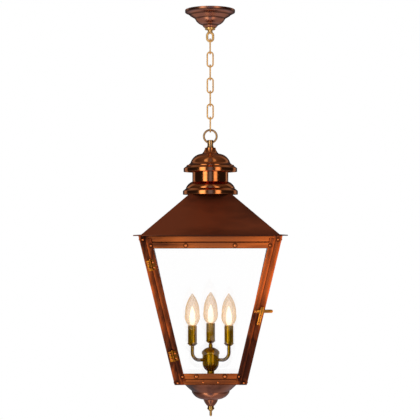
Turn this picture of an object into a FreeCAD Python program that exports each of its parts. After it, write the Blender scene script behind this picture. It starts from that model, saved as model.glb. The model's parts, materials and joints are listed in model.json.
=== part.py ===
"""Chain pendant lantern: a copper and brass lantern that hangs from a ceiling canopy on a chain.

Millimetres, +Z up. The origin is the middle of the ceiling plane, where the canopy rim meets it,
and the door is on the front, which faces -Y.
"""
import FreeCAD
import Part
import Sketcher

import math
import os
import re

doc = FreeCAD.newDocument("lantern")
sheet = doc.addObject("Spreadsheet::Sheet", "Sizes")

SIZES = {
    # fits
    "link_gap": 0.3,
    "thread_clearance": 0.1,
    "swing_clearance": 0.8,
    # ceiling bar, nipple and nut
    "bar_length": 98,
    "bar_width": 16,
    "bar_thickness": 2,
    "slot_spacing": 79.4,
    "slot_length": 14,
    "slot_width": 4.6,
    "nipple_radius": 3.8,
    "nipple_bore": 2.4,
    "nipple_seat": 4,
    "nut_width": 14,
    "nut_height": 3,
    # spun canopy
    "sheet_wall": 1,
    "canopy_rim_radius": 56.2,
    "canopy_rim_height": 4.5,
    "canopy_roll": 2,
    "canopy_shelf_radius": 46.5,
    "canopy_shelf_depth": 10.5,
    "canopy_step": 1.9,
    "canopy_ledge_radius": 34.5,
    "canopy_ledge_depth": 19,
    "canopy_belly_radius": 19.5,
    "canopy_belly_depth": 33.2,
    "canopy_belly_curve": 24,
    "canopy_collar_radius": 17,
    "canopy_nose_radius": 13.5,
    "canopy_nose_curve": 18,
    "canopy_depth": 39.5,
    # screw collar and loop
    "collar_radius": 11.7,
    "collar_height": 5,
    "collar_edge": 1.2,
    "neck_radius": 5.5,
    "neck_length": 3.5,
    "loop_width": 18.7,
    "loop_length": 24.7,
    "loop_wire": 5.4,
    # chain and ring
    "link_length": 36.4,
    "link_width": 16.4,
    "link_wire": 3.4,
    "ring_diameter": 33.4,
    "ring_wire": 4.6,
    # ring holder and hanger
    "holder_radius": 7.2,
    "holder_waist": 6.4,
    "holder_foot": 8.6,
    "holder_above": 6,
    "holder_below": 11.2,
    "holder_dome": 1.6,
    "holder_upper_curve": 18,
    "holder_lower_curve": 14,
    "pipe_radius": 4,
    "pipe_bore": 2.2,
    "pipe_seat": 5,
    "strap_length": 84,
    "strap_width": 18,
    "strap_thickness": 2.5,
    # cupola
    "cap_nose_radius": 12,
    "cap_neck_radius": 19.3,
    "cap_neck_height": 13.5,
    "cap_neck_curve": 22,
    "cap_dome_radius": 44.5,
    "cap_dome_height": 33,
    "cap_dome_curve": 28,
    "cap_cove_radius": 53.4,
    "cap_cove_height": 39.2,
    "cap_cove_curve": 12,
    "cap_rim_radius": 60.2,
    "cap_rim_height": 8,
    "cap_height": 54,
    "drum_radius": 40.4,
    "drum_height": 22.4,
    "base_shoulder_radius": 54.8,
    "base_shoulder_height": 13.2,
    "base_shoulder_curve": 26,
    "base_lip": 1.8,
    "base_rim_radius": 61.8,
    "base_rim_height": 8.2,
    "base_height": 28.8,
    # roof
    "roof_top_half": 46.8,
    "roof_setback": 4.8,
    "roof_height": 90.1,
    "vent_radius": 34,
    "flange_overhang": 10.6,
    "flange_thickness": 2.2,
    # tapering body
    "body_half_top": 153.6,
    "body_half_bottom": 79,
    "body_height": 326.6,
    "post_wall": 1.2,
    "front_leg": 20,
    "side_leg": 14,
    "band_height": 14.4,
    "pan_lip": 6,
    "pan_apron": 13.45,
    # glass
    "glass_thickness": 3,
    "glass_inset": 6.5,
    "bead_height": 8,
    "foot_bead_height": 3.4,
    "bead_wall": 1.2,
    # door
    "post_strip": 12.8,
    "stile_width": 12.8,
    "stile_foot": 8.9,
    "stile_head": 4.9,
    "rail_inset": 21,
    "door_wall": 1.2,
    "door_gap": 0.3,
    "top_rail_height": 13.6,
    "top_rail_drop": 13.95,
    "bottom_rail_height": 13.1,
    "bottom_rail_rise": 13.3,
    "door_glass_inset": 22,
    "door_glass_lap": 3,
    "tab_width": 8,
    "tab_reach": 6,
    "tab_wall": 1,
    # hinges
    "hinge_height": 23,
    "hinge_leaf": 8.5,
    "hinge_leaf_wall": 1,
    "hinge_knuckle_radius": 2.3,
    "hinge_pin_radius": 1.3,
    "hinge_pin_clearance": 0.15,
    "hinge_ball_radius": 2,
    "hinge_head": 64,
    "hinge_foot": 67,
    # latch
    "latch_height": 168.7,
    "latch_width": 7.2,
    "latch_thickness": 2.4,
    "latch_reach": 37,
    "latch_pivot_radius": 1.6,
    "keeper_width": 6.6,
    "keeper_wall": 1.2,
    "keeper_foot": 32,
    "keeper_lip": 6.5,
    "keeper_rivet": 28,
    "keeper_upper_rivet": 11.5,
    # rivets
    "rivet_radius": 2.6,
    "rivet_dome": 1.3,
    "button_radius": 3.8,
    "button_dome": 1.7,
    "rivet_edge": 6.4,
    "head_rivet_drop": 8.1,
    "foot_rivet_rise": 4.7,
    "rail_rivet_top": 52.5,
    "rail_rivet_bottom": 31,
    "apron_rivet": 16.2,
    "apron_rivet_rise": 5.8,
    # bowl, finial and rod
    "bowl_mouth_radius": 66,
    "bowl_waist_radius": 42.4,
    "bowl_waist_depth": 22.5,
    "bowl_flare_curve": 220,
    "bowl_bead": 2.5,
    "bowl_bulge_curve": 27,
    "bowl_cup_radius": 17.5,
    "bowl_cup_depth": 40.6,
    "bowl_tip_radius": 7.7,
    "bowl_tip_curve": 30,
    "bowl_depth": 56.4,
    "finial_neck_radius": 6.9,
    "finial_ring_radius": 8.4,
    "finial_ring_drop": 6.2,
    "finial_taper_drop": 11.3,
    "finial_taper_radius": 3.9,
    "finial_tail_radius": 2.9,
    "finial_length": 23.4,
    "rod_radius": 3,
    "rod_seat": 8,
    # candle cluster
    "stem_radius": 7.9,
    "stem_height": 20.9,
    "hub_radius": 18.3,
    "hub_bowl_height": 17,
    "hub_bowl_curve": 20,
    "hub_wall_height": 21,
    "hub_bore_depth": 6,
    "hub_rim_radius": 19.9,
    "hub_rim_height": 5,
    "hub_dome_height": 10,
    "hub_dome_curve": 24,
    "hub_knob_radius": 4.5,
    "hub_knob_height": 9,
    "arm_radius": 3.8,
    "arm_rise": 9,
    "arm_reach": 47,
    "arm_bend": 18,
    "cup_foot_radius": 6,
    "cup_rim_radius": 11.6,
    "cup_height": 5,
    "cup_level": 32.8,
    "sleeve_radius": 10,
    "sleeve_wall": 1,
    "sleeve_height": 40,
    "socket_radius": 8.2,
    "socket_height": 34,
    "bulb_base_radius": 5.8,
    "bulb_base_height": 16,
    "bulb_neck_radius": 7.4,
    "bulb_radius": 15.9,
    "bulb_belly_height": 27,
    "bulb_belly_curve": 26,
    "bulb_tip_radius": 2.5,
    "bulb_tip_curve": 64,
    "bulb_height": 71.4,
}
LINK_COUNT = 7
CANDLE_COUNT = 3

for row, (alias, value) in enumerate(SIZES.items(), start=1):
    sheet.set(f"A{row}", alias)
    sheet.set(f"B{row}", str(value))
    sheet.setAlias(f"B{row}", alias)
doc.recompute()

Vector = FreeCAD.Vector
Placement = FreeCAD.Placement
Rotation = FreeCAD.Rotation
X_AXIS = Vector(1, 0, 0)
Y_AXIS = Vector(0, 1, 0)
Z_AXIS = Vector(0, 0, 1)
nodes = []


# Formulas over the sheet

def formula(text):
    """Write a formula of size names as one that points at the sheet's cells."""
    return re.sub(r"[a-z]+(?:_[a-z]+)+", lambda found: "Sizes." + found.group(0), str(text))


def size(text):
    """The number that a formula of size names gives."""
    return float(sheet.evalExpression(formula(text)))


def bind(thing, **settings):
    """Tie properties of an object to formulas of size names."""
    for name, text in settings.items():
        thing.setExpression(name, formula(text))


def bind_height(thing, text):
    thing.setExpression("Placement.Base.z", formula(text))


def keep(thing, label):
    """Name a finished sub-part."""
    thing.Label = label
    nodes.append(thing)
    return thing


# Sketches and features

def new_sketch(body, role, name):
    plane = [feature for feature in body.Origin.OriginFeatures if feature.Role == role][0]
    sketch = body.newObject("Sketcher::SketchObject", name)
    sketch.AttachmentSupport = [(plane, "")]
    sketch.MapMode = "FlatFace"
    return sketch


def pin_point(sketch, geometry, position, x, y, tag):
    """Hold one sketch point at two formulas."""
    for kind, text in (("DistanceX", x), ("DistanceY", y)):
        index = sketch.addConstraint(Sketcher.Constraint(kind, -1, 1, geometry, position, size(text)))
        sketch.renameConstraint(index, f"{kind}_{tag}")
        sketch.setExpression(f"Constraints.{kind}_{tag}", formula(text))


def arc_through(start, end, radius, side):
    """An arc between two points that bulges to the left (1) or right (-1) of the way along it."""
    chord = end - start
    sagitta = radius - math.sqrt(radius**2 - (chord.Length / 2)**2)
    left = Vector(-chord.y, chord.x, 0).normalize()
    return Part.Arc(start, (start + end) / 2 + left * (sagitta * side), end)


def draw_outline(sketch, points, closed=True):
    """Draw a chain of lines and arcs. A point is (x, y), or (x, y, radius, side) after an arc."""
    places = [Vector(size(point[0]), size(point[1]), 0) for point in points]
    count = len(points) if closed else len(points) - 1
    starts = []
    ends = []
    for index in range(count):
        after = (index + 1) % len(points)
        target = points[after]
        if len(target) == 2:
            curve = Part.LineSegment(places[index], places[after])
        else:
            curve = arc_through(places[index], places[after], size(target[2]), target[3])
        geometry = sketch.addGeometry(curve, False)
        forward = (sketch.getPoint(geometry, 1) - places[index]).Length < 1e-6
        starts.append((geometry, 1 if forward else 2))
        ends.append((geometry, 2 if forward else 1))
    for index in range(count if closed else count - 1):
        sketch.addConstraint(Sketcher.Constraint("Coincident", *ends[index], *starts[(index + 1) % count]))
    for index, point in enumerate(points):
        corner = starts[index] if index < count else ends[-1]
        pin_point(sketch, *corner, point[0], point[1], index)
    for index in range(count):
        target = points[(index + 1) % len(points)]
        if len(target) > 2:
            radius = sketch.addConstraint(Sketcher.Constraint("Radius", starts[index][0], size(target[2])))
            sketch.renameConstraint(radius, f"Radius_{index}")
            sketch.setExpression(f"Constraints.Radius_{index}", formula(target[2]))


def slot_outline(left, right, radius):
    """A level slot whose round ends are centred at left and right."""
    return [
        (left, f"-({radius})", radius, -1),
        (right, f"-({radius})"),
        (f"({right}) + ({radius})", "0", radius, -1),
        (right, radius, radius, -1),
        (left, radius),
        (f"({left}) - ({radius})", "0", radius, -1),
    ]


def spin(name, outline, level="0"):
    """A turned or spun piece: an outline of (radius, height) points turned about the Z axis."""
    body = doc.addObject("PartDesign::Body", name)
    sketch = new_sketch(body, "XZ_Plane", name + "_outline")
    draw_outline(sketch, outline)
    turn = body.newObject("PartDesign::Revolution", name + "_turn")
    turn.Profile = sketch
    turn.ReferenceAxis = (sketch, ["V_Axis"])
    turn.Angle = 360
    bind_height(body, level)
    return body


def shell(outer, wall, rise):
    """Close the outline of a spun sheet: the outer line, and the same line moved in by one wall."""
    first = outer[0]
    last = outer[-1]
    inner = [(f"({last[0]}) - {wall}", last[1])]
    for index in range(len(outer) - 2, 0, -1):
        before = outer[index + 1]
        moved = (f"({outer[index][0]}) - {wall}", f"({outer[index][1]}) + ({rise})")
        if len(before) > 2:
            moved += (before[2], -before[3])
        inner.append(moved)
    inner.append((first[0], f"({first[1]}) + ({rise})"))
    return outer + inner


def plate(name, outline, low, high, frame=Placement(), plane="XY_Plane"):
    """A flat piece: an outline padded from low to high above its plane."""
    body = doc.addObject("PartDesign::Body", name)
    sketch = new_sketch(body, plane, name + "_outline")
    draw_outline(sketch, outline)
    sketch.setExpression("AttachmentOffset.Base.z", formula(low))
    pad = body.newObject("PartDesign::Pad", name + "_pad")
    pad.Profile = sketch
    bind(pad, Length=f"({high}) - ({low})")
    body.Placement = frame
    return body


def bent_wire(name, spine, closed, wire_radius, plane, start, frame=Placement()):
    """A round wire or tube along a line in the XZ plane. start is (in-plane x, y, offset) of its end."""
    body = doc.addObject("PartDesign::Body", name)
    path = new_sketch(body, "XZ_Plane", name + "_path")
    draw_outline(path, spine, closed)
    section = new_sketch(body, plane, name + "_section")
    middle = Vector(size(start[0]), size(start[1]), 0)
    ring = section.addGeometry(Part.Circle(middle, Z_AXIS, size(wire_radius)), False)
    pin_point(section, ring, 3, start[0], start[1], "middle")
    radius = section.addConstraint(Sketcher.Constraint("Radius", ring, size(wire_radius)))
    section.renameConstraint(radius, "wire")
    section.setExpression("Constraints.wire", formula(wire_radius))
    section.setExpression("AttachmentOffset.Base.z", formula(start[2]))
    doc.recompute()
    pipe = body.newObject("PartDesign::AdditivePipe", name + "_pipe")
    pipe.Profile = section
    pipe.Spine = path
    body.Placement = frame
    return body


def wire_oval(name, length, width, wire, level, turn):
    """A long link: two straight sides and two round ends, centred on a level."""
    across = f"(({width}) - ({wire})) / 2"
    side = f"(({length}) - ({width})) / 2"
    top = f"({side}) + ({across})"
    spine = [
        (across, f"-({side})", across, -1),
        (across, side),
        ("0", top, across, -1),
        (f"-({across})", side, across, -1),
        (f"-({across})", f"-({side})"),
        ("0", f"-({top})", across, -1),
    ]
    frame = Placement(Vector(), Rotation(Z_AXIS, turn))
    link = bent_wire(name, spine, True, f"({wire}) / 2", "XY_Plane", (across, "0", "0"), frame)
    bind_height(link, level)
    return link


def rod(name, radius, low, high, x="0", y="0"):
    """An upright round rod between two levels."""
    cylinder = doc.addObject("Part::Cylinder", name)
    bind(cylinder, Radius=radius, Height=f"({high}) - ({low})")
    cylinder.setExpression("Placement.Base.x", formula(x))
    cylinder.setExpression("Placement.Base.y", formula(y))
    bind_height(cylinder, low)
    return cylinder


def block(name, length, width, height, frame, x, y, z):
    """A box with its low corner at x, y, z of a frame."""
    box = doc.addObject("Part::Box", name)
    bind(box, Length=length, Width=width, Height=height)
    box.Placement = frame.multiply(Placement(Vector(size(x), size(y), size(z)), Rotation()))
    return box


def flat_bar(name, length, width, low, high):
    """A level bar, centred on the Z axis."""
    return plate(name, [
        (f"0 - {length} / 2", f"0 - {width} / 2"),
        (f"{length} / 2", f"0 - {width} / 2"),
        (f"{length} / 2", f"{width} / 2"),
        (f"0 - {length} / 2", f"{width} / 2"),
    ], low, high)


def hex_nut(name, width, low, high, bore):
    """A hexagon nut on the Z axis, with a bore."""
    prism = doc.addObject("Part::Prism", name + "_hexagon")
    prism.Polygon = 6
    bind(prism, Circumradius=f"({width}) / sqrt(3)", Height=f"({high}) - ({low})")
    bind_height(prism, low)
    return cut(name, prism, [rod(name + "_bore", bore, low, high)])


def frustum(name, low, high, half_low, half_high):
    """A square tapering block, centred on the Z axis."""
    wedge = doc.addObject("Part::Wedge", name)
    bind(wedge, Ymin=low, Ymax=high)
    bind(wedge, Xmin=f"-({half_low})", Xmax=half_low, Zmin=f"-({half_low})", Zmax=half_low)
    bind(wedge, X2min=f"-({half_high})", X2max=half_high, Z2min=f"-({half_high})", Z2max=half_high)
    wedge.Placement = Placement(Vector(), Rotation(X_AXIS, 90))
    return wedge


def fuse(name, shapes):
    joined = doc.addObject("Part::MultiFuse", name)
    joined.Shapes = shapes
    joined.Refine = True
    return joined


def cut(name, base, tools):
    result = base
    for index, tool in enumerate(tools, start=1):
        step = doc.addObject("Part::Cut", name if index == len(tools) else f"{name}_cut_{index}")
        step.Base = result
        step.Tool = tool
        result = step
    return result


def group(name, solids):
    """Like pieces that share one node."""
    compound = doc.addObject("Part::Compound", name)
    compound.Links = solids
    return compound


# Levels, from the ceiling down

collar_top = "(0 - canopy_depth)"
neck_top = f"({collar_top} - collar_height)"
loop_top = f"({neck_top} - neck_length)"
loop_middle = f"({loop_top} - loop_length / 2)"
loop_seat = f"({loop_top} - loop_length + loop_wire)"
link_pitch = "(link_length - 2 * link_wire - link_gap)"
first_link = f"({loop_seat} + link_gap + link_wire - link_length / 2)"
last_link = f"({first_link} - {LINK_COUNT - 1} * {link_pitch})"
ring_middle = f"({last_link} - link_length / 2 + link_wire + link_gap + ring_wire - ring_diameter / 2)"
ring_bottom = f"({ring_middle} - (ring_diameter - ring_wire) / 2)"
cap_top = f"({ring_bottom} - holder_below)"
cap_bottom = f"({cap_top} - cap_height)"
base_top = f"({cap_bottom} - drum_height)"
roof_top = f"({base_top} - base_height)"
eaves = f"({roof_top} - roof_height)"
body_top = f"({eaves} - flange_thickness)"
body_bottom = f"({body_top} - body_height)"
pan_floor = f"({body_bottom} + post_wall)"
finial_top = f"({body_bottom} - bowl_depth)"


# Ceiling set

def ceiling_set():
    bar = flat_bar("bar_blank", "bar_length", "bar_width", "0 - bar_thickness", "0")
    straight = "(slot_length - slot_width)"
    holes = [rod("bar_hole", "nipple_radius + thread_clearance", "0 - bar_thickness", "0")]
    for side in (-1, 1):
        middle = f"{side} * slot_spacing / 2"
        ends = slot_outline(f"{middle} - {straight} / 2", f"{middle} + {straight} / 2", "slot_width / 2")
        holes.append(plate(f"bar_slot_{side + 1}", ends, "0 - bar_thickness", "0"))
    keep(cut("ceiling_crossbar_solid", bar, holes), "ceiling_crossbar")

    nipple_bottom = f"({neck_top} - nipple_seat)"
    nipple = rod("nipple_rod", "nipple_radius", nipple_bottom, "0")
    nipple_hole = rod("nipple_hole", "nipple_bore", nipple_bottom, "0")
    keep(cut("canopy_nipple_solid", nipple, [nipple_hole]), "canopy_nipple")
    nut = hex_nut("canopy_locknut_solid", "nut_width", "0 - bar_thickness - nut_height",
                  "0 - bar_thickness", "nipple_radius + thread_clearance")
    keep(nut, "canopy_locknut")

    ledge_foot = "canopy_ledge_radius - sheet_wall"
    line = [
        ("nipple_radius + thread_clearance", "0 - canopy_depth"),
        ("canopy_nose_radius", "0 - canopy_depth"),
        ("canopy_collar_radius", "0 - canopy_belly_depth - canopy_step", "canopy_nose_curve", -1),
        ("canopy_belly_radius", "0 - canopy_belly_depth"),
        (ledge_foot, "0 - canopy_ledge_depth - canopy_step", "canopy_belly_curve", -1),
        ("canopy_ledge_radius", "0 - canopy_ledge_depth"),
        ("canopy_shelf_radius - sheet_wall", "0 - canopy_shelf_depth - canopy_step"),
        ("canopy_shelf_radius", "0 - canopy_shelf_depth"),
        ("canopy_rim_radius - canopy_roll", "0 - canopy_rim_height - canopy_roll"),
        ("canopy_rim_radius", "0 - canopy_rim_height", "canopy_roll", -1),
        ("canopy_rim_radius", "0"),
    ]
    keep(spin("canopy_solid", shell(line, "sheet_wall", "sheet_wall")), "canopy")

    collar = spin("screw_collar_solid", [
        ("nipple_radius + thread_clearance", neck_top),
        ("collar_radius - collar_edge", neck_top),
        ("collar_radius", f"{neck_top} + collar_edge", "collar_edge", -1),
        ("collar_radius", f"{collar_top} - collar_edge"),
        ("collar_radius - collar_edge", collar_top, "collar_edge", -1),
        ("nipple_radius + thread_clearance", collar_top),
    ])
    keep(collar, "screw_collar")

    oval = wire_oval("loop_oval", "loop_length", "loop_width", "loop_wire", loop_middle, 0)
    neck = rod("loop_neck", "neck_radius", f"{loop_top} - loop_wire / 2", neck_top)
    loop = fuse("loop_casting", [oval, neck])
    socket_end = f"{nipple_bottom} - thread_clearance"
    socket = rod("loop_socket", "nipple_radius + thread_clearance", socket_end, neck_top)
    keep(cut("canopy_loop_solid", loop, [socket]), "canopy_loop")


# Chain and ring

def chain():
    for index in range(LINK_COUNT):
        turn = 90 if index % 2 == 0 else 0
        level = f"{first_link} - {index} * {link_pitch}"
        link = wire_oval(f"link_{index + 1}_solid", "link_length", "link_width", "link_wire", level, turn)
        keep(link, f"chain_link_{index + 1}")
    ring = doc.addObject("Part::Torus", "hanging_ring_solid")
    bind(ring, Radius1="(ring_diameter - ring_wire) / 2", Radius2="ring_wire / 2")
    ring.Placement = Placement(Vector(), Rotation(X_AXIS, 90))
    bind_height(ring, ring_middle)
    keep(ring, "hanging_ring")


# Cupola and hanger

def dome_drop(radius):
    """How far below the cap's top its round dome lies at a radius."""
    start = Vector(size("cap_neck_radius"), -size("cap_neck_height"), 0)
    end = Vector(size("cap_dome_radius"), -size("cap_dome_height"), 0)
    dome = arc_through(start, end, size("cap_dome_curve"), 1).toShape().Curve
    across = size(radius) - dome.Center.x
    return -(dome.Center.y + math.sqrt(dome.Radius**2 - across**2))


def cupola():
    knob = spin("holder_knob", [
        ("0", cap_top),
        ("holder_foot", cap_top),
        ("holder_waist", f"{ring_bottom} - holder_above", "holder_lower_curve", 1),
        ("holder_radius", ring_bottom, "holder_upper_curve", 1),
        ("holder_radius", f"{ring_bottom} + holder_above - holder_dome"),
        ("holder_radius - holder_dome", f"{ring_bottom} + holder_above", "holder_dome", -1),
        ("0", f"{ring_bottom} + holder_above"),
    ])
    eye = doc.addObject("Part::Torus", "holder_eye")
    bind(eye, Radius1="(ring_diameter - ring_wire) / 2", Radius2="ring_wire / 2 + swing_clearance")
    eye.Placement = Placement(Vector(), Rotation(X_AXIS, 90))
    bind_height(eye, ring_middle)
    seat = rod("holder_seat", "pipe_radius + thread_clearance", cap_top, f"{cap_top} + pipe_seat")
    keep(cut("ring_holder_solid", knob, [eye, seat]), "ring_holder")

    strap_bottom = f"({roof_top} - sheet_wall - strap_thickness)"
    pipe_bottom = f"({strap_bottom} - 2 * nut_height)"
    pipe = rod("hanger_tube", "pipe_radius", pipe_bottom, f"{cap_top} + pipe_seat")
    pipe_hole = rod("hanger_hole", "pipe_bore", pipe_bottom, f"{cap_top} + pipe_seat")
    keep(cut("hanger_pipe_solid", pipe, [pipe_hole]), "hanger_pipe")

    hole = "pipe_radius + thread_clearance"
    cap = [
        (hole, cap_top),
        ("cap_nose_radius", cap_top),
        ("cap_neck_radius", f"{cap_top} - cap_neck_height", "cap_neck_curve", -1),
        ("cap_dome_radius", f"{cap_top} - cap_dome_height", "cap_dome_curve", 1),
        ("cap_cove_radius", f"{cap_top} - cap_cove_height", "cap_cove_curve", -1),
        ("cap_cove_radius", f"{cap_top} - cap_cove_height - base_lip"),
        ("cap_rim_radius", f"{cap_bottom} + cap_rim_height"),
        ("cap_rim_radius", cap_bottom),
    ]
    keep(spin("cupola_cap_solid", shell(cap, "sheet_wall", "0 - sheet_wall")), "cupola_cap")

    drum_seat = f"({cap_top} - {dome_drop('drum_radius + sheet_wall')} - sheet_wall - thread_clearance)"
    drum_in = "(drum_radius - sheet_wall)"
    drum = spin("cupola_drum_solid", [
        (drum_in, base_top),
        ("drum_radius", base_top),
        ("drum_radius", drum_seat),
        (drum_in, drum_seat),
    ])
    keep(drum, "cupola_drum")

    base = [
        (f"{drum_in} - sheet_wall", base_top),
        ("drum_radius + sheet_wall", base_top),
        ("base_shoulder_radius", f"{base_top} - base_shoulder_height", "base_shoulder_curve", 1),
        ("base_shoulder_radius", f"{base_top} - base_shoulder_height - base_lip"),
        ("base_rim_radius", f"{roof_top} + base_rim_height"),
        ("base_rim_radius", roof_top),
    ]
    keep(spin("cupola_base_solid", shell(base, "sheet_wall", "0 - sheet_wall")), "cupola_base")

    strap = flat_bar("strap_blank", "strap_length", "strap_width", strap_bottom, f"{roof_top} - sheet_wall")
    strap_hole = rod("strap_hole", hole, strap_bottom, f"{roof_top} - sheet_wall")
    keep(cut("hanger_strap_solid", strap, [strap_hole]), "hanger_strap")
    below = hex_nut("nut_below_strap", "nut_width", f"{strap_bottom} - nut_height", strap_bottom, hole)
    above = hex_nut("nut_above_strap", "nut_width", f"{roof_top} - sheet_wall",
                    f"{roof_top} - sheet_wall + nut_height", hole)
    rod_nut = hex_nut("nut_below_pan", "nut_width", f"{body_bottom} - nut_height", body_bottom,
                      "rod_radius + thread_clearance")
    keep(group("lock_nuts_group", [below, above, rod_nut]), "lock_nuts")


# Roof and body frame

wall_spread = "(body_half_top - body_half_bottom)"
wall_length = f"sqrt(body_height^2 + {wall_spread}^2)"
WALL_LEAN = math.degrees(math.atan2(size(wall_spread), size("body_height")))
EDGE_LEAN = math.degrees(math.atan2(size(wall_spread), size(wall_length)))
LEAN_FACTOR = f"({wall_length} / body_height)"


def wall_half(up):
    """Half the width of a wall at a distance up its slope from the body's bottom edge."""
    return f"(body_half_bottom + {wall_spread} * ({up}) / {wall_length})"


def wall_frame(turn=0):
    """The frame of one wall: X along its bottom edge, Y up its slope, Z outwards. 0 is the front."""
    foot = Vector(0, -size("body_half_bottom"), size(body_bottom))
    lean = Placement(foot, Rotation(X_AXIS, 90 + WALL_LEAN))
    return Placement(Vector(), Rotation(Z_AXIS, turn)).multiply(lean)


def strip(name, low, high, left, right, inner, outer, turn=0):
    """A flat strip on a wall. left and right give a side's distance from the middle at a height."""
    return plate(name, [
        (left(low), low),
        (right(low), low),
        (right(high), high),
        (left(high), high),
    ], inner, outer, wall_frame(turn))


def inset(amount, side=1):
    """A line that keeps one distance from the wall's side edge."""
    return lambda up: f"{side} * ({wall_half(up)} - ({amount}))"


def roof():
    roof_half = "(body_half_top - roof_setback)"
    flange_half = "(body_half_top + flange_overhang)"
    slope = f"(({roof_half} - roof_top_half) / roof_height)"
    slant = f"(sheet_wall * sqrt(1 + {slope}^2))"
    outer = frustum("roof_outer", eaves, roof_top, roof_half, "roof_top_half")
    inner = frustum("roof_inner", eaves, f"{roof_top} - sheet_wall", f"{roof_half} - {slant}",
                    f"roof_top_half + {slope} * sheet_wall - {slant}")
    flange = frustum("roof_flange", body_top, eaves, flange_half, flange_half)
    mouth_half = f"{roof_half} - {slant}"
    mouth = frustum("roof_mouth", body_top, eaves, mouth_half, mouth_half)
    vent = rod("roof_vent", "vent_radius", f"{roof_top} - sheet_wall", roof_top)
    hollow = cut("roof_shell", outer, [inner, vent])
    lip = cut("roof_lip", flange, [mouth])
    keep(fuse("roof_solid", [hollow, lip]), "roof")


def body_frame():
    leg_in = f"post_wall * {LEAN_FACTOR}"
    band_low = f"({body_top} - band_height)"
    spread = f"({wall_spread} / body_height)"
    band_half_low = f"(body_half_top - {spread} * band_height - {leg_in})"
    band_out = frustum("band_outer", band_low, body_top, band_half_low, f"body_half_top - {leg_in}")
    band_in = frustum("band_inner", band_low, body_top, f"{band_half_low} - {leg_in}",
                      f"body_half_top - 2 * {leg_in}")
    keep(cut("top_band_solid", band_out, [band_in]), "top_band")

    lip_half = f"(body_half_bottom + {spread} * pan_lip - {leg_in})"
    lip_top = f"{body_bottom} + pan_lip"
    pan_out = frustum("pan_outer", body_bottom, lip_top, f"body_half_bottom - {leg_in}", lip_half)
    pan_in = frustum("pan_inner", pan_floor, lip_top,
                     f"body_half_bottom + {spread} * post_wall - 2 * {leg_in}", f"{lip_half} - {leg_in}")
    tray = cut("pan_tray", pan_out, [pan_in])
    apron = strip("pan_apron_strip", f"{pan_lip_up()} - post_wall", f"pan_apron * {LEAN_FACTOR}",
                  inset("3 * post_wall", -1), inset("3 * post_wall"), "0 - 2 * post_wall", "0 - post_wall")
    hole = rod("pan_hole", "rod_radius + thread_clearance", body_bottom, pan_floor)
    keep(cut("bottom_pan_solid", fuse("pan_folded", [tray, apron]), [hole]), "bottom_pan")

    for side_y, end in ((-1, "front"), (1, "back")):
        for side_x, hand in ((-1, "left"), (1, "right")):
            front = "front_leg" if end == "front" else "side_leg"
            keep(corner_post(f"post_{end}_{hand}", side_x, side_y, front), f"post_{end}_{hand}")


def pan_lip_up():
    """The height of the pan's lip, measured up the slope."""
    return f"pan_lip * {LEAN_FACTOR}"


def corner_post(name, side_x, side_y, leg):
    """A folded angle whose section lies level and runs up along the body's leaning corner."""
    corner_x = f"{side_x} * body_half_bottom"
    corner_y = f"{side_y} * body_half_bottom"
    wall = f"post_wall * {LEAN_FACTOR}"
    body = doc.addObject("PartDesign::Body", name + "_solid")
    sketch = new_sketch(body, "XY_Plane", name + "_section")
    draw_outline(sketch, [
        (corner_x, corner_y),
        (f"{corner_x} - {side_x} * {leg}", corner_y),
        (f"{corner_x} - {side_x} * {leg}", f"{corner_y} - {side_y} * {wall}"),
        (f"{corner_x} - {side_x} * {wall}", f"{corner_y} - {side_y} * {wall}"),
        (f"{corner_x} - {side_x} * {wall}", f"{corner_y} - {side_y} * side_leg"),
        (corner_x, f"{corner_y} - {side_y} * side_leg"),
    ])
    pad = body.newObject("PartDesign::Pad", name + "_pad")
    pad.Profile = sketch
    pad.UseCustomVector = True
    rise = size("body_height")
    spread = size(wall_spread)
    pad.Direction = Vector(side_x * spread / rise, side_y * spread / rise, 1)
    pad.AlongSketchNormal = True
    bind(pad, Length="body_height")
    bind_height(body, body_bottom)
    return body


def panes():
    glass_out = "0 - 2 * post_wall"
    glass_in = f"{glass_out} - glass_thickness"
    foot = "post_wall + link_gap"
    head = f"{wall_length} - post_wall - link_gap"
    beads = []
    for hand, turn in (("right", 90), ("back", 180), ("left", 270)):
        pane = strip(f"glass_{hand}_solid", foot, head, inset("glass_inset", -1), inset("glass_inset"),
                     glass_in, glass_out, turn)
        keep(pane, f"glass_{hand}")
        bead_side = "glass_inset + glass_thickness + 2 * bead_wall"
        ends = (("foot", foot, f"{foot} + foot_bead_height"), ("head", f"{head} - bead_height", head))
        for end, low, high in ends:
            bead = strip(f"bead_{hand}_{end}", low, high,
                         inset(bead_side, -1), inset(bead_side), f"{glass_in} - bead_wall", glass_in, turn)
            beads.append(bead)
    keep(group("glass_beads_group", beads), "glass_beads")


# Door

door_back = "door_gap"
door_front = "(door_gap + door_wall)"
stile_top = f"({wall_length} - stile_head)"
top_rail_high = f"({wall_length} - top_rail_drop)"
top_rail_low = f"({top_rail_high} - top_rail_height)"
bottom_rail_low = "bottom_rail_rise"
bottom_rail_high = "(bottom_rail_rise + bottom_rail_height)"
rail_back = "(door_gap - door_wall)"


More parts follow.
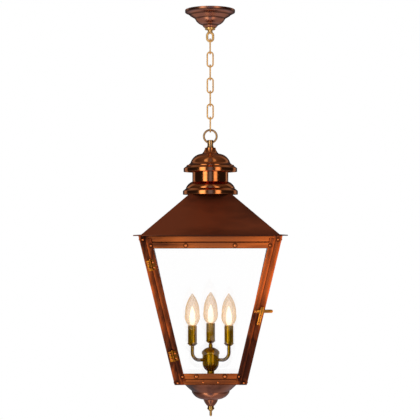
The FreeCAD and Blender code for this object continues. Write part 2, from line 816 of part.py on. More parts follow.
def door():
    for hand, side in (("left", -1), ("right", 1)):
        outer = inset("post_strip + door_gap", side)
        inner = inset("post_strip + stile_width", side)
        left, right = (outer, inner) if side < 0 else (inner, outer)
        stile = strip(f"stile_{hand}", "stile_foot", stile_top, left, right, door_back, door_front)
        keep(stile, f"door_stile_{hand}")
    rails = (("top", top_rail_low, top_rail_high), ("bottom", bottom_rail_low, bottom_rail_high))
    for end, low, high in rails:
        left = inset("rail_inset", -1)
        right = inset("rail_inset")
        rail = strip(f"rail_{end}", low, high, left, right, rail_back, door_back)
        keep(rail, f"door_{end}_rail")

    glass_low = f"({bottom_rail_low} + door_glass_lap)"
    glass_high = f"({top_rail_high} - door_glass_lap)"
    left = inset("door_glass_inset", -1)
    right = inset("door_glass_inset")
    pane = strip("door_pane", glass_low, glass_high, left, right, f"{rail_back} - glass_thickness", rail_back)
    keep(pane, "door_glass")

    tabs = []
    tab_depth = f"{rail_back} - glass_thickness - tab_wall"
    ends = (("top", glass_high, 1, "rail_rivet_top"), ("bottom", glass_low, -1, "rail_rivet_bottom"))
    for end, edge, way, across in ends:
        for hand, side in (("left", -1), ("right", 1)):
            middle = size(across) * side
            section = [
                (f"{edge} + {way} * door_gap", rail_back),
                (f"{edge} + {way} * (door_gap + tab_wall)", rail_back),
                (f"{edge} + {way} * (door_gap + tab_wall)", tab_depth),
                (f"{edge} - {way} * tab_reach", tab_depth),
                (f"{edge} - {way} * tab_reach", f"{tab_depth} + tab_wall"),
                (f"{edge} + {way} * door_gap", f"{tab_depth} + tab_wall"),
            ]
            frame = wall_frame().multiply(Placement(Vector(middle, 0, 0), Rotation()))
            half = "tab_width / 2"
            tabs.append(plate(f"tab_{end}_{hand}", section, f"0 - {half}", half, frame, "YZ_Plane"))
    keep(group("door_glass_tabs_group", tabs), "door_glass_tabs")


# Hinges

hinge_axis_out = f"({door_front} + door_gap + hinge_knuckle_radius)"
hinge_ups = (("upper", f"({wall_length} - hinge_head)"), ("lower", "hinge_foot"))


def hinge_frame(up):
    """A hinge's frame: Y along its pin, Z outwards, its middle on the line between post and stile."""
    middle = Vector(-size(wall_half(up)) + size("post_strip"), size(up), 0)
    return wall_frame().multiply(Placement(middle, Rotation(Z_AXIS, EDGE_LEAN)))


def along_pin(name, radius, low, high, frame):
    """A round piece on the hinge line between two heights."""
    cylinder = doc.addObject("Part::Cylinder", name)
    bind(cylinder, Radius=radius, Height=f"({high}) - ({low})")
    local = Placement(Vector(0, size(low), size(hinge_axis_out)), Rotation(X_AXIS, -90))
    cylinder.Placement = frame.multiply(local)
    return cylinder


def hinges():
    post_leaves = []
    door_leaves = []
    pins = []
    third = "(hinge_height / 3)"
    edge = "(hinge_knuckle_radius + door_gap)"
    half_gap = "(door_gap / 2)"
    bore = "hinge_pin_radius + hinge_pin_clearance"
    plate_width = f"hinge_leaf - {edge}"
    for label, up in hinge_ups:
        frame = hinge_frame(up)
        leaf = block(f"{label}_post_plate", plate_width, "hinge_height", f"{door_front} + hinge_leaf_wall",
                     frame, "0 - hinge_leaf", "0 - hinge_height / 2", "0")
        pieces = [leaf]
        for end, low in (("low", "0 - hinge_height / 2"), ("high", f"{third} / 2 + {half_gap}")):
            run = f"{third} - {half_gap}"
            pieces.append(block(f"{label}_post_tab_{end}", edge, run, "hinge_leaf_wall", frame,
                                f"0 - {edge}", low, door_front))
            pieces.append(along_pin(f"{label}_post_knuckle_{end}", "hinge_knuckle_radius",
                                    low, f"{low} + {run}", frame))
        hole = along_pin(f"{label}_post_bore", bore, "0 - hinge_height", "hinge_height", frame)
        post_leaves.append(cut(f"{label}_post_leaf", fuse(f"{label}_post_blank", pieces), [hole]))

        low = f"0 - {third} / 2 + {half_gap}"
        run = f"{third} - 2 * {half_gap}"
        pieces = [
            block(f"{label}_door_plate", plate_width, "hinge_height", "hinge_leaf_wall", frame,
                  edge, "0 - hinge_height / 2", door_front),
            block(f"{label}_door_tab", edge, run, "hinge_leaf_wall", frame, "0", low, door_front),
            along_pin(f"{label}_door_knuckle", "hinge_knuckle_radius", low, f"{low} + {run}", frame),
        ]
        hole = along_pin(f"{label}_door_bore", bore, "0 - hinge_height", "hinge_height", frame)
        door_leaves.append(cut(f"{label}_door_leaf", fuse(f"{label}_door_blank", pieces), [hole]))

        pin_top = "hinge_height / 2 + door_gap"
        shaft = along_pin(f"{label}_shaft", "hinge_pin_radius", "0 - hinge_height / 2", pin_top, frame)
        ball = doc.addObject("Part::Sphere", f"{label}_ball")
        bind(ball, Radius="hinge_ball_radius")
        lift = f"{pin_top} + sqrt(hinge_ball_radius^2 - hinge_pin_radius^2)"
        ball.Placement = frame.multiply(Placement(Vector(0, size(lift), size(hinge_axis_out)), Rotation()))
        pins.append(fuse(f"{label}_pin", [shaft, ball]))
    keep(group("hinge_post_leaves_group", post_leaves), "hinge_post_leaves")
    keep(group("hinge_door_leaves_group", door_leaves), "hinge_door_leaves")
    keep(group("hinge_pins_group", pins), "hinge_pins")


# Latch

latch_low = f"({door_front} + door_gap)"
latch_high = f"({latch_low} + latch_thickness)"


def latch():
    end = "(latch_width / 2)"
    pivot_across = f"{wall_half('latch_height')} - post_strip - stile_width / 2"
    pivot = Vector(size(pivot_across), size("latch_height"), 0)
    frame = wall_frame().multiply(Placement(pivot, Rotation()))
    bar = plate("latch_blank", slot_outline("0", f"latch_reach - {end}", end), latch_low, latch_high, frame)
    eye = doc.addObject("Part::Cylinder", "latch_eye")
    bind(eye, Radius="latch_pivot_radius + hinge_pin_clearance", Height="latch_thickness")
    eye.Placement = frame.multiply(Placement(Vector(0, 0, size(latch_low)), Rotation()))
    keep(cut("latch_bar_solid", bar, [eye]), "latch_bar")

    hook_in = f"({latch_high} + door_gap)"
    hook_out = f"({hook_in} + keeper_wall)"
    seat = f"(0 - latch_width / 2 - door_gap - keeper_width * {wall_spread} / {wall_length})"
    profile = [
        ("0 - keeper_foot", "0"),
        (seat, "0"),
        (seat, hook_in),
        ("latch_width / 2 + keeper_lip", hook_in),
        ("latch_width / 2 + keeper_lip", hook_out),
        (f"{seat} - keeper_wall", hook_out),
        (f"{seat} - keeper_wall", "keeper_wall"),
        ("0 - keeper_foot", "keeper_wall"),
    ]
    foot = Vector(size(f"{wall_half('latch_height')} - post_strip / 2"), size("latch_height"), 0)
    keeper_frame = wall_frame().multiply(Placement(foot, Rotation(Z_AXIS, -EDGE_LEAN)))
    half = "keeper_width / 2"
    keeper = plate("latch_keeper_solid", profile, f"0 - {half}", half, keeper_frame, "YZ_Plane")
    keep(keeper, "latch_keeper")
    return frame, keeper_frame


# Rivets

def rivet(name, frame, x, y, z, radius="rivet_radius", dome="rivet_dome"):
    """A domed head whose flat side sits at x, y, z of a frame."""
    ball = f"(({radius}^2 + {dome}^2) / (2 * {dome}))"
    head = doc.addObject("Part::Sphere", name)
    bind(head, Radius=ball, Angle1=f"asin(({ball} - {dome}) / {ball})")
    drop = size(f"{ball} - {dome}")
    head.Placement = frame.multiply(Placement(Vector(size(x), size(y), size(z) - drop), Rotation()))
    return head


def rivets(latch_frame, keeper_frame):
    fixed = []
    top = f"({wall_length} - head_rivet_drop)"
    foot = "foot_rivet_rise"
    for turn in (0, 90, 180, 270):
        frame = wall_frame(turn)
        for side in (-1, 1):
            for end, up in (("top", top), ("foot", foot)):
                spot = inset("rivet_edge + post_wall", side)(up)
                fixed.append(rivet(f"post_rivet_{turn}_{side + 1}_{end}", frame, spot, up, "0"))
    front = wall_frame()
    for side in (-1, 1):
        across = f"{side} * apron_rivet"
        fixed.append(rivet(f"apron_rivet_{side + 1}", front, across, "apron_rivet_rise", "0 - post_wall"))
    for end, drop in (("lower", "keeper_rivet"), ("upper", "keeper_upper_rivet")):
        fixed.append(rivet(f"keeper_{end}_rivet", keeper_frame, "0", f"0 - {drop}", "keeper_wall"))

    moving = []
    spots = (
        ("top", f"({top_rail_low} + top_rail_height / 2)", "rail_rivet_top"),
        ("bottom", f"({bottom_rail_low} + bottom_rail_height / 2)", "rail_rivet_bottom"),
    )
    for end, up, across in spots:
        for side in (-1, 1):
            corner = inset("post_strip + stile_width - rivet_radius - post_wall", side)(up)
            moving.append(rivet(f"corner_rivet_{end}_{side + 1}", front, corner, up, door_front))
            moving.append(rivet(f"rail_rivet_{end}_{side + 1}", front, f"{side} * {across}", up, door_back,
                                "button_radius", "button_dome"))
    leaf_middle = "(hinge_leaf + hinge_knuckle_radius) / 2"
    for label, up in hinge_ups:
        frame = hinge_frame(up)
        for end in (-1, 1):
            up = f"{end} * hinge_height / 4"
            face = f"{door_front} + hinge_leaf_wall"
            fixed.append(rivet(f"{label}_post_leaf_rivet_{end + 1}", frame, f"0 - {leaf_middle}", up, face))
            moving.append(rivet(f"{label}_door_leaf_rivet_{end + 1}", frame, leaf_middle, up, face))
    pin = doc.addObject("Part::Cylinder", "latch_pivot_pin")
    bind(pin, Radius="latch_pivot_radius", Height=f"{latch_high} + door_gap - {door_front}")
    pin.Placement = latch_frame.multiply(Placement(Vector(0, 0, size(door_front)), Rotation()))
    head = rivet("latch_pivot_head", latch_frame, "0", "0", f"{latch_high} + door_gap")
    moving.append(fuse("latch_pivot", [pin, head]))
    keep(group("frame_rivets_group", fixed), "frame_rivets")
    keep(group("door_rivets_group", moving), "door_rivets")


# Bowl and finial

def bottom():
    hole = "rod_radius + thread_clearance"
    bead = f"({body_bottom} - bowl_waist_depth - bowl_bead)"
    cup_foot = f"{body_bottom} - bowl_cup_depth - sheet_wall"
    line = [
        (hole, finial_top),
        ("bowl_tip_radius", finial_top),
        ("bowl_cup_radius - sheet_wall", cup_foot, "bowl_tip_curve", -1),
        ("bowl_cup_radius", f"{body_bottom} - bowl_cup_depth"),
        ("bowl_waist_radius", bead, "bowl_bulge_curve", -1),
        ("bowl_waist_radius", f"{body_bottom} - bowl_waist_depth"),
        ("bowl_mouth_radius", body_bottom, "bowl_flare_curve", -1),
    ]
    keep(spin("bottom_bowl_solid", shell(line, "sheet_wall", "sheet_wall")), "bottom_bowl")
    tail = f"({finial_top} - finial_length)"
    finial = spin("bottom_finial_solid", [
        ("0", f"{finial_top} - rod_seat"),
        (hole, f"{finial_top} - rod_seat"),
        (hole, finial_top),
        ("finial_neck_radius", finial_top),
        ("finial_neck_radius", f"{finial_top} - finial_ring_drop / 2"),
        ("finial_ring_radius", f"{finial_top} - finial_ring_drop"),
        ("finial_taper_radius", f"{finial_top} - finial_taper_drop"),
        ("finial_tail_radius", f"{finial_top} - finial_taper_drop"),
        ("finial_tail_radius", f"{tail} + finial_tail_radius"),
        ("0", tail, "finial_tail_radius", 1),
    ])
    keep(finial, "bottom_finial")
    tie_top = f"{pan_floor} + stem_height - link_gap"
    tie = rod("tie_rod_solid", "rod_radius", f"{finial_top} - rod_seat", tie_top)
    keep(tie, "tie_rod")


# Candle cluster

def cluster():
    hub_foot = f"({pan_floor} + stem_height)"
    wall_foot = f"({hub_foot} + hub_bowl_height)"
    hub_top = f"({wall_foot} + hub_wall_height)"
    arm_level = f"({wall_foot} + arm_rise)"
    hole = "rod_radius + thread_clearance"
    stem = spin("cluster_stem_solid", [
        (hole, pan_floor),
        ("stem_radius", pan_floor),
        ("stem_radius", hub_foot),
        (hole, hub_foot),
    ])
    keep(stem, "cluster_stem")

    hub = spin("hub_turning", [
        ("0", hub_foot),
        ("stem_radius", hub_foot),
        ("hub_radius", wall_foot, "hub_bowl_curve", -1),
        ("hub_radius", hub_top),
        ("0", hub_top),
    ])
    bores = []
    turns = [90 + 360 * index / CANDLE_COUNT for index in range(CANDLE_COUNT)]
    for index, turn in enumerate(turns, start=1):
        bore = doc.addObject("Part::Cylinder", f"hub_bore_{index}")
        bind(bore, Radius="arm_radius + thread_clearance", Height="hub_radius")
        spun = Placement(Vector(), Rotation(Z_AXIS, turn))
        start = Vector(size("hub_radius - hub_bore_depth"), 0, size(arm_level))
        bore.Placement = spun.multiply(Placement(start, Rotation(Y_AXIS, 90)))
        bores.append(bore)
    keep(cut("cluster_hub_solid", hub, bores), "cluster_hub")

    knob_top = f"({hub_top} + hub_rim_height + hub_dome_height + hub_knob_height)"
    dome_top = f"({hub_top} + hub_rim_height + hub_dome_height)"
    cap = spin("hub_cap_solid", [
        ("0", hub_top),
        ("hub_rim_radius", hub_top),
        ("hub_rim_radius", f"{hub_top} + hub_rim_height"),
        ("hub_knob_radius", dome_top, "hub_dome_curve", -1),
        ("hub_knob_radius", f"{knob_top} - hub_knob_radius"),
        ("0", knob_top, "hub_knob_radius", -1),
    ])
    keep(cap, "hub_cap")

    cup_foot = f"({arm_level} + cup_level)"
    cup_top = f"({cup_foot} + cup_height)"
    sleeve_top = f"({cup_top} + sleeve_height)"
    socket_top = f"({cup_top} + socket_height)"
    cups = []
    sleeves = []
    sockets = []
    bulbs = []
    for index, turn in enumerate(turns, start=1):
        frame = Placement(Vector(), Rotation(Z_AXIS, turn))
        start = "(hub_radius - hub_bore_depth)"
        arm = bent_wire(f"arm_{index}", [
            (start, arm_level),
            ("arm_reach - arm_bend", arm_level),
            ("arm_reach", f"{arm_level} + arm_bend", "arm_bend", -1),
            ("arm_reach", cup_top),
        ], False, "arm_radius", "YZ_Plane", ("0", arm_level, start), frame)
        keep(arm, f"candle_arm_{index}")
        place = frame.multVec(Vector(size("arm_reach"), 0, 0))
        arm_hole = "arm_radius + thread_clearance"
        cup = spin(f"cup_{index}", [
            (arm_hole, cup_foot),
            ("cup_foot_radius", cup_foot),
            ("cup_rim_radius", cup_top),
            (arm_hole, cup_top),
        ])
        sleeve_in = "(sleeve_radius - sleeve_wall)"
        sleeve = spin(f"sleeve_{index}", [
            (sleeve_in, cup_top),
            ("sleeve_radius", cup_top),
            ("sleeve_radius", sleeve_top),
            (sleeve_in, sleeve_top),
        ])
        base_hole = "(bulb_base_radius + thread_clearance)"
        socket = spin(f"socket_{index}", [
            ("0", cup_top),
            ("socket_radius", cup_top),
            ("socket_radius", socket_top),
            (base_hole, socket_top),
            (base_hole, f"{sleeve_top} - bulb_base_height"),
            ("0", f"{sleeve_top} - bulb_base_height"),
        ])
        belly = f"({sleeve_top} + bulb_belly_height)"
        tip = f"({sleeve_top} + bulb_height)"
        bulb = spin(f"bulb_{index}_solid", [
            ("0", f"{sleeve_top} - bulb_base_height"),
            ("bulb_base_radius", f"{sleeve_top} - bulb_base_height"),
            ("bulb_base_radius", sleeve_top),
            ("bulb_neck_radius", sleeve_top),
            ("bulb_radius", belly, "bulb_belly_curve", -1),
            ("bulb_tip_radius", f"{tip} - bulb_tip_radius", "bulb_tip_curve", -1),
            ("0", tip, "bulb_tip_radius", -1),
        ])
        for piece in (cup, sleeve, socket, bulb):
            piece.Placement.Base = place
        cups.append(cup)
        sleeves.append(sleeve)
        sockets.append(socket)
        keep(bulb, f"bulb_{index}")
    keep(group("candle_cups_group", cups), "candle_cups")
    keep(group("candle_sleeves_group", sleeves), "candle_sleeves")
    keep(group("lamp_sockets_group", sockets), "lamp_sockets")


ceiling_set()
chain()
cupola()
roof()
body_frame()
panes()
door()
hinges()
rivets(*latch())
bottom()
cluster()
doc.recompute()

faults = []
for thing in doc.Objects:
    if "Invalid" in thing.State or "Error" in thing.State:
        faults.append(f"{thing.Name}: {thing.State}")
for node in nodes:
    if node.Shape.isNull() or not node.Shape.isValid() or not node.Shape.Solids:
        faults.append(f"{node.Label}: shape is not a valid solid")
if faults:
    raise RuntimeError("; ".join(faults))

os.makedirs("parts", exist_ok=True)
for node in nodes:
    node.Shape.exportStep(f"parts/{node.Label}.step")
    box = node.Shape.BoundBox
    print(f"{node.Label}: {len(node.Shape.Solids)} solids, z {box.ZMin:.1f} to {box.ZMax:.1f}")
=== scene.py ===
# %% [markdown]
# # A chain pendant lantern in copper and brass
# The lantern hangs from a ceiling canopy on a short chain. Its construction is already settled: every
# solid comes in at its real size and place. This lesson gives each piece its surface. Spun metal is spun
# again on a fine lathe, sheet metal gets its folded edges back, the chain and the rivets are grown by
# Geometry Nodes, and each finish is a small tree of nodes.

import json
import math

import bmesh
import bpy
from mathutils import Matrix, Vector


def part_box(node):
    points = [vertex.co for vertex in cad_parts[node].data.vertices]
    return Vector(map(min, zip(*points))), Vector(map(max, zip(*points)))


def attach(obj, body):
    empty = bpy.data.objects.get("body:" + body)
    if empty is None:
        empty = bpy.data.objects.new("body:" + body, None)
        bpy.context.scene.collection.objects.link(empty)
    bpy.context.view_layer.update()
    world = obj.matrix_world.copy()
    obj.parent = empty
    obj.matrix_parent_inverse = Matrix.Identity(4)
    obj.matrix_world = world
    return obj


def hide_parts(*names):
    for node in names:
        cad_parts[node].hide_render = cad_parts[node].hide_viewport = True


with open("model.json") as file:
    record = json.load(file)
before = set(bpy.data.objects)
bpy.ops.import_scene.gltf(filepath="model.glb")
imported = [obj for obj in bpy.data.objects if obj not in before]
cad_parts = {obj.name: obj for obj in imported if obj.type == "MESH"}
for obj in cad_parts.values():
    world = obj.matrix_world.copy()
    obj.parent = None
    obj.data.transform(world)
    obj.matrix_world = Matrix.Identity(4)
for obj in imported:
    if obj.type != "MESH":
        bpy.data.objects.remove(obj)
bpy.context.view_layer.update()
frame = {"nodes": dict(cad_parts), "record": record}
nodes = frame["nodes"]
MM = 0.001


def low(node):
    """The level of a solid's lowest point, in millimetres."""
    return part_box(node)[0].z / MM


def high(node):
    """The level of a solid's highest point, in millimetres."""
    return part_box(node)[1].z / MM


# %% [markdown]
# ## The camera
# The lantern is seen straight on, from a little under three metres, with the eye just above the eaves.
# One pixel at the lantern's axis is 2.25 mm. From that and the distance follows the lens. The eye's level
# lies twenty pixels below the middle of the picture. A shift of the lens gives that without tilting the
# camera, so upright edges stay upright.

# %% Set the camera
IMAGE_PIXELS = 420
PIXEL_AT_AXIS = 2.25 * MM
EYE_DISTANCE = 2.83
EYE_LEVEL = -495 * MM
EYE_PIXEL_X = 210.45
EYE_PIXEL_Y = 230.1
CAMERA_ROLL = math.radians(-0.1)
SENSOR_WIDTH = 36

camera_data = bpy.data.cameras.new("camera")
camera = bpy.data.objects.new("camera", camera_data)
bpy.context.scene.collection.objects.link(camera)
bpy.context.scene.camera = camera
camera_data.sensor_width = SENSOR_WIDTH
camera_data.lens = SENSOR_WIDTH * EYE_DISTANCE / (IMAGE_PIXELS * PIXEL_AT_AXIS)
camera_data.shift_x = (IMAGE_PIXELS / 2 - EYE_PIXEL_X) / IMAGE_PIXELS
camera_data.shift_y = (EYE_PIXEL_Y - IMAGE_PIXELS / 2) / IMAGE_PIXELS
camera.matrix_world = (
    Matrix.Translation((0, -EYE_DISTANCE, EYE_LEVEL))
    @ Matrix.Rotation(math.radians(90), 4, "X")
    @ Matrix.Rotation(CAMERA_ROLL, 4, "Z")
)
bpy.context.scene.view_settings.view_transform = "Standard"
print("lens:", round(camera_data.lens, 1), "mm")

# %% [markdown]
# ## Sums on sockets
# A finish is mostly arithmetic: this much of one noise, less that much of another. Wired by hand that is
# a page of Math nodes. This small class wraps a socket and gives it Python's operators, so a sum reads as
# a sum and the Math nodes appear by themselves. Everything that isn't a sum comes from one function,
# which sets a node's own settings first and its sockets second.

# %% A socket that can do sums
class Socket:
    """One output of a node tree, with operators that add Math nodes."""

    def __init__(self, tree, output):
        self.tree = tree
        self.output = output

    def sum_node(self, operation, first, second):
        return add_node(self.tree, "ShaderNodeMath", {"operation": operation}, {0: first, 1: second})

    def __add__(self, other):
        return self.sum_node("ADD", self, other)

    def __sub__(self, other):
        return self.sum_node("SUBTRACT", self, other)

    def __rsub__(self, other):
        return self.sum_node("SUBTRACT", other, self)

    def __mul__(self, other):
        return self.sum_node("MULTIPLY", self, other)

    def __abs__(self):
        return self.sum_node("ABSOLUTE", self, 0.0)

    def at_least(self, other):
        return self.sum_node("MAXIMUM", self, other)

    def at_most(self, other):
        return self.sum_node("MINIMUM", self, other)

    __radd__ = __add__
    __rmul__ = __mul__


def add_node(tree, kind, settings, sockets, output=0):
    """Add a node, set it up, fill its sockets with values or links, and give back one output."""
    node = tree.nodes.new(kind)
    for name, value in settings.items():
        setattr(node, name, value)
    for name, value in sockets.items():
        if isinstance(value, Socket):
            tree.links.new(value.output, node.inputs[name])
        else:
            node.inputs[name].default_value = value
    return Socket(tree, node.outputs[output]) if node.outputs else None


print("socket sums ready")

# %% [markdown]
# ## Three tools for fields
# Most masks come from a place: its X, Y or Z, a soft step along one of them, and a colour mixed by that.

# %% Parts of a vector, soft steps and mixed colours
def parts(vector):
    """The X, Y and Z of a vector."""
    split = add_node(vector.tree, "ShaderNodeSeparateXYZ", {}, {"Vector": vector})
    return [Socket(vector.tree, output) for output in split.output.node.outputs]


def ease(value, start, end):
    """A soft step from 0 at start to 1 at end. Start may be the larger number."""
    return add_node(value.tree, "ShaderNodeMapRange", {"interpolation_type": "SMOOTHSTEP"},
                    {"Value": value, "From Min": start, "From Max": end})


def colour_mix(tree, factor, first, second):
    """A colour between two others. Plain colours are (r, g, b)."""
    fill = [value if isinstance(value, Socket) else (*value, 1.0) for value in (first, second)]
    sockets = {0: factor, 6: fill[0], 7: fill[1]}
    return add_node(tree, "ShaderNodeMix", {"data_type": "RGBA"}, sockets, output=2)


print("field tools ready")

# %% [markdown]
# ## Light
# The lantern is photographed on plain white. A white surround alone would make the metal look like paper,
# so the room is split. What is seen directly or through glass, and what lights the floor, is white. What
# metal reflects is a dim room with tall soft strips of light: a faint blue one behind the camera, a bright
# one left of it, a warmer one right of it and two faint ones behind the lantern. They give every round
# piece its upright bands, and they thin out towards the dim ceiling. Below lies pale ground.

# %% Light the room
ROOM_DARK = (0.026, 0.022, 0.028)
ROOM_ABOVE = (0.17, 0.125, 0.105)
ROOM_BELOW = (0.48, 0.44, 0.48)
WHITE = (1.0, 1.0, 1.0)
# how steeply a ray points where the ceiling or the ground begins to show, and where it shows fully
CEILING = (0.2, 1.0)
GROUND = (-0.1, -0.7)
STRIPS = [
    # azimuth from the camera's line and half width in degrees, then colour
    (0, 9, (0.24, 0.34, 0.75)),
    (-34, 12, (2.6, 2.4, 1.9)),
    (33, 10, (2.0, 1.6, 1.2)),
    (-130, 12, (0.5, 0.42, 0.36)),
    (130, 12, (0.5, 0.42, 0.36)),
]
STRIP_EDGE = 5

world = bpy.data.worlds.new("room")
bpy.context.scene.world = world
world.use_nodes = True
room = world.node_tree
room.nodes.clear()
facing = add_node(room, "ShaderNodeTexCoord", {}, {}, output="Generated")
right, back, up = parts(facing)
azimuth = right.sum_node("ARCTAN2", right, 0 - back)
overhead = up.at_least(0.0)
thinning = 1 - overhead * overhead
reflected = colour_mix(room, ease(up, *CEILING), ROOM_DARK, ROOM_ABOVE)
reflected = colour_mix(room, ease(up, *GROUND), reflected, ROOM_BELOW)
for middle, half, colour in STRIPS:
    apart = abs(azimuth - math.radians(middle))
    strip = ease(apart, math.radians(half + STRIP_EDGE), math.radians(half - STRIP_EDGE))
    reflected = colour_mix(room, strip * thinning, reflected, colour)
to_camera, through, scattered = (
    add_node(room, "ShaderNodeLightPath", {}, {}, output=f"Is {ray} Ray")
    for ray in ("Camera", "Transmission", "Diffuse")
)
seen = colour_mix(room, to_camera.at_least(through).at_least(scattered), reflected, WHITE)
glow = add_node(room, "ShaderNodeBackground", {}, {"Color": seen, "Strength": 1.0})
add_node(room, "ShaderNodeOutputWorld", {}, {"Surface": glow})
print("room with", len(STRIPS), "strips of light")

# %% [markdown]
# ## The floor
# A pale round floor far below shows in views from above. It stays out of the metal's reflections.

# %% Lay the floor
FLOOR_LEVEL = -1.25
FLOOR_RADIUS = 1.6
FLOOR_SIDES = 96

floor_turns = [math.tau * index / FLOOR_SIDES for index in range(FLOOR_SIDES)]
floor_points = [
    (FLOOR_RADIUS * math.cos(turn), FLOOR_RADIUS * math.sin(turn), FLOOR_LEVEL) for turn in floor_turns
]
floor_mesh = bpy.data.meshes.new("floor")
floor_mesh.from_pydata(floor_points, [], [tuple(range(FLOOR_SIDES))])
floor = bpy.data.objects.new("floor", floor_mesh)
bpy.context.scene.collection.objects.link(floor)
floor.visible_glossy = False
print("floor at", FLOOR_LEVEL, "m")

# %% [markdown]
# ## The leaning walls
# The body widens upwards, so its four walls lean out. Everything on a wall is easiest to place on the wall
# itself: so far across it, so far up its slope, so far out of it. The corner post gives the wall's size.

# %% Measure the walls
POST_STRIP = 12.8
HALF_BOTTOM = 79.0
post_low, post_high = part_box("post_front_left")
BODY_BOTTOM = post_low.z / MM
BODY_HEIGHT = (post_high.z - post_low.z) / MM
HALF_TOP = -post_low.x / MM
SPREAD = HALF_TOP - HALF_BOTTOM
WALL = math.hypot(BODY_HEIGHT, SPREAD)
LEAN = math.atan2(SPREAD, BODY_HEIGHT)
EDGE_LEAN = math.atan2(SPREAD, WALL)


def half_width(rise):
    """Half a wall's width at a distance up its slope."""
    return HALF_BOTTOM + SPREAD * rise / WALL


def wall_frame(turn):
    """The frame of a wall: X across it, Y up its slope, Z out of it. Turn 0 is the front."""
    foot = Matrix.Translation((0, -HALF_BOTTOM, BODY_BOTTOM))
    lean = Matrix.Rotation(math.radians(90) + LEAN, 4, "X")
    return Matrix.Rotation(math.radians(turn), 4, "Z") @ foot @ lean


print("walls lean", round(math.degrees(LEAN), 1), "degrees")

# %% [markdown]
# ## Tarnish and painted shade
# Copper is darkened in the seam between post and door, along the edges of the rails, round the rivets and
# in the canopy's grooves. At the seams and round the rivets this is partly tarnish and partly painted
# shade; in the canopy's grooves it is simply a darker line. Each mask here takes a place in Object
# coordinates and gives a number near 1 where the darkening is and 0 elsewhere, so it moves with its
# piece. The rivets' places are written down here, because both the masks and the rivets need them.

# %% Masks for tarnish and painted shade
# millimetres in from a wall's edge or up its slope; a rail's rivets also count from its middle
POST_EDGE = 7.6
POST_RIVETS = (WALL - 8.1, 4.7)
STILE_CORNER = 21.8
RAIL_RIVETS = ((WALL - 20.75, 52.5), (19.85, 31))

# where a mask begins beside its line or spot, and where it is full; squared for spots
POST_SEAM = (2.0 * MM, 0.3 * MM)
RAIL_SEAM = (2.2 * MM, 0.2 * MM)
GROOVE = (1.9 * MM, 0.7 * MM)
STAIN_AND_SHADE = ((7.0 * MM) ** 2, (3.0 * MM) ** 2)
# rivet stains and painted shade are kept to the front half: from the lantern's middle forwards
FRONT = (0.0, -10 * MM)

# how strong each kind of tarnish and painted shade is
POST_SEAM_DEPTH = 0.55
POST_STAIN_AND_SHADE_DEPTH = 0.6
RAIL_STAIN_AND_SHADE_DEPTH = 0.75
RAIL_DEPTH = 0.85
GROOVE_DEPTH = 0.7
CANOPY_GROOVES = (-34.3, -20, -11.5, -5.5)


def rivet_stains_and_shade(place, spots):
    """Stain and painted shade round each of the front wall's rivets: 1 there, fading to 0 some millimetres
    beside it.
    """
    across, depth, rise = parts(place)
    stains_and_shade = 0.0
    for slope, aside in spots:
        away = abs(across) - aside * MM
        above = rise - (BODY_BOTTOM + slope * math.cos(LEAN)) * MM
        stains_and_shade = ease(away * away + above * above, *STAIN_AND_SHADE) + stains_and_shade
    return stains_and_shade * ease(depth, *FRONT)


def post_seam_tarnish_and_shade(place):
    """Painted shade and tarnish along the line between a front post and the door, and round the rivets."""
    across, _, rise = parts(place)
    wall_half = (rise - BODY_BOTTOM * MM) * (SPREAD / BODY_HEIGHT) + HALF_BOTTOM * MM
    beside = abs(wall_half - abs(across) - POST_STRIP * MM)
    spots = [(slope, half_width(slope) - POST_EDGE) for slope in POST_RIVETS]
    spots += [(slope, half_width(slope) - STILE_CORNER) for slope, _ in RAIL_RIVETS]
    stains_and_shade = rivet_stains_and_shade(place, spots) * POST_STAIN_AND_SHADE_DEPTH
    return (ease(beside, *POST_SEAM) * POST_SEAM_DEPTH).at_least(stains_and_shade)


def rail_seam_tarnish_and_shade(place):
    """Painted shade and tarnish on the level lines where flange, top band, rails and pan meet, and round
    rivets.
    """
    rise = parts(place)[2]
    door_lines = [high("door_top_rail"), low("door_top_rail"), low("door_bottom_rail")]
    seam = 0.0
    for line in [high("top_band"), *door_lines, BODY_BOTTOM]:
        seam = ease(abs(rise - line * MM), *RAIL_SEAM) + seam
    return (seam + rivet_stains_and_shade(place, RAIL_RIVETS) * RAIL_STAIN_AND_SHADE_DEPTH).at_most(RAIL_DEPTH)


def canopy_rings(place):
    """The grooves between the canopy's steps."""
    rise = parts(place)[2]
    rings = 0.0
    for groove in CANOPY_GROOVES:
        rings = ease(abs(rise - (high("canopy") + groove) * MM), *GROOVE) + rings
    return rings.at_most(GROOVE_DEPTH)


def rivet_skirt_tarnish_and_shade(place):
    """1 on the skirt of a rivet's head, darkened as tarnish and painted shade, 0 on its crown."""
    return add_node(place.tree, "ShaderNodeAttribute", {"attribute_name": "skirt"}, {}, output="Fac")


print("tarnish: posts, rails, canopy and rivets")

# %% [markdown]
# ## Brightness along the frame
# The frame isn't one even copper. The upper right posts are the brightest, the upper rails fade towards
# their left end, the feet of the posts are dark, and the roof is lighter at its eaves. On the roof, painted
# light brightens the left side and painted shadow darkens the flange under the eaves. Each of these
# functions gives a brightness along a piece: one half leaves the metal as it is, more brightens it, less
# darkens it.

# %% Brightness along posts, rails and roof
def above_foot(distance):
    """A level of the body, counted in millimetres from its bottom."""
    return (BODY_BOTTOM + distance) * MM


# where a change begins and where it is complete
UPPER_HALF = (above_foot(130), above_foot(230))
POST_HEAD = (above_foot(BODY_HEIGHT - 85), above_foot(BODY_HEIGHT - 10))
FOOT_FROM_ABOVE = (above_foot(110), above_foot(60))
FOOT_FROM_BELOW = (above_foot(5), above_foot(45))
RIGHT_POSTS = (-20 * MM, 60 * MM)
RAIL_LEFT_END = (-25 * MM, -110 * MM)
RAIL_RIGHT_END = (50 * MM, 130 * MM)
# where painted light on the roof's left side begins and is full
ROOF_LEFT = (30 * MM, -120 * MM)
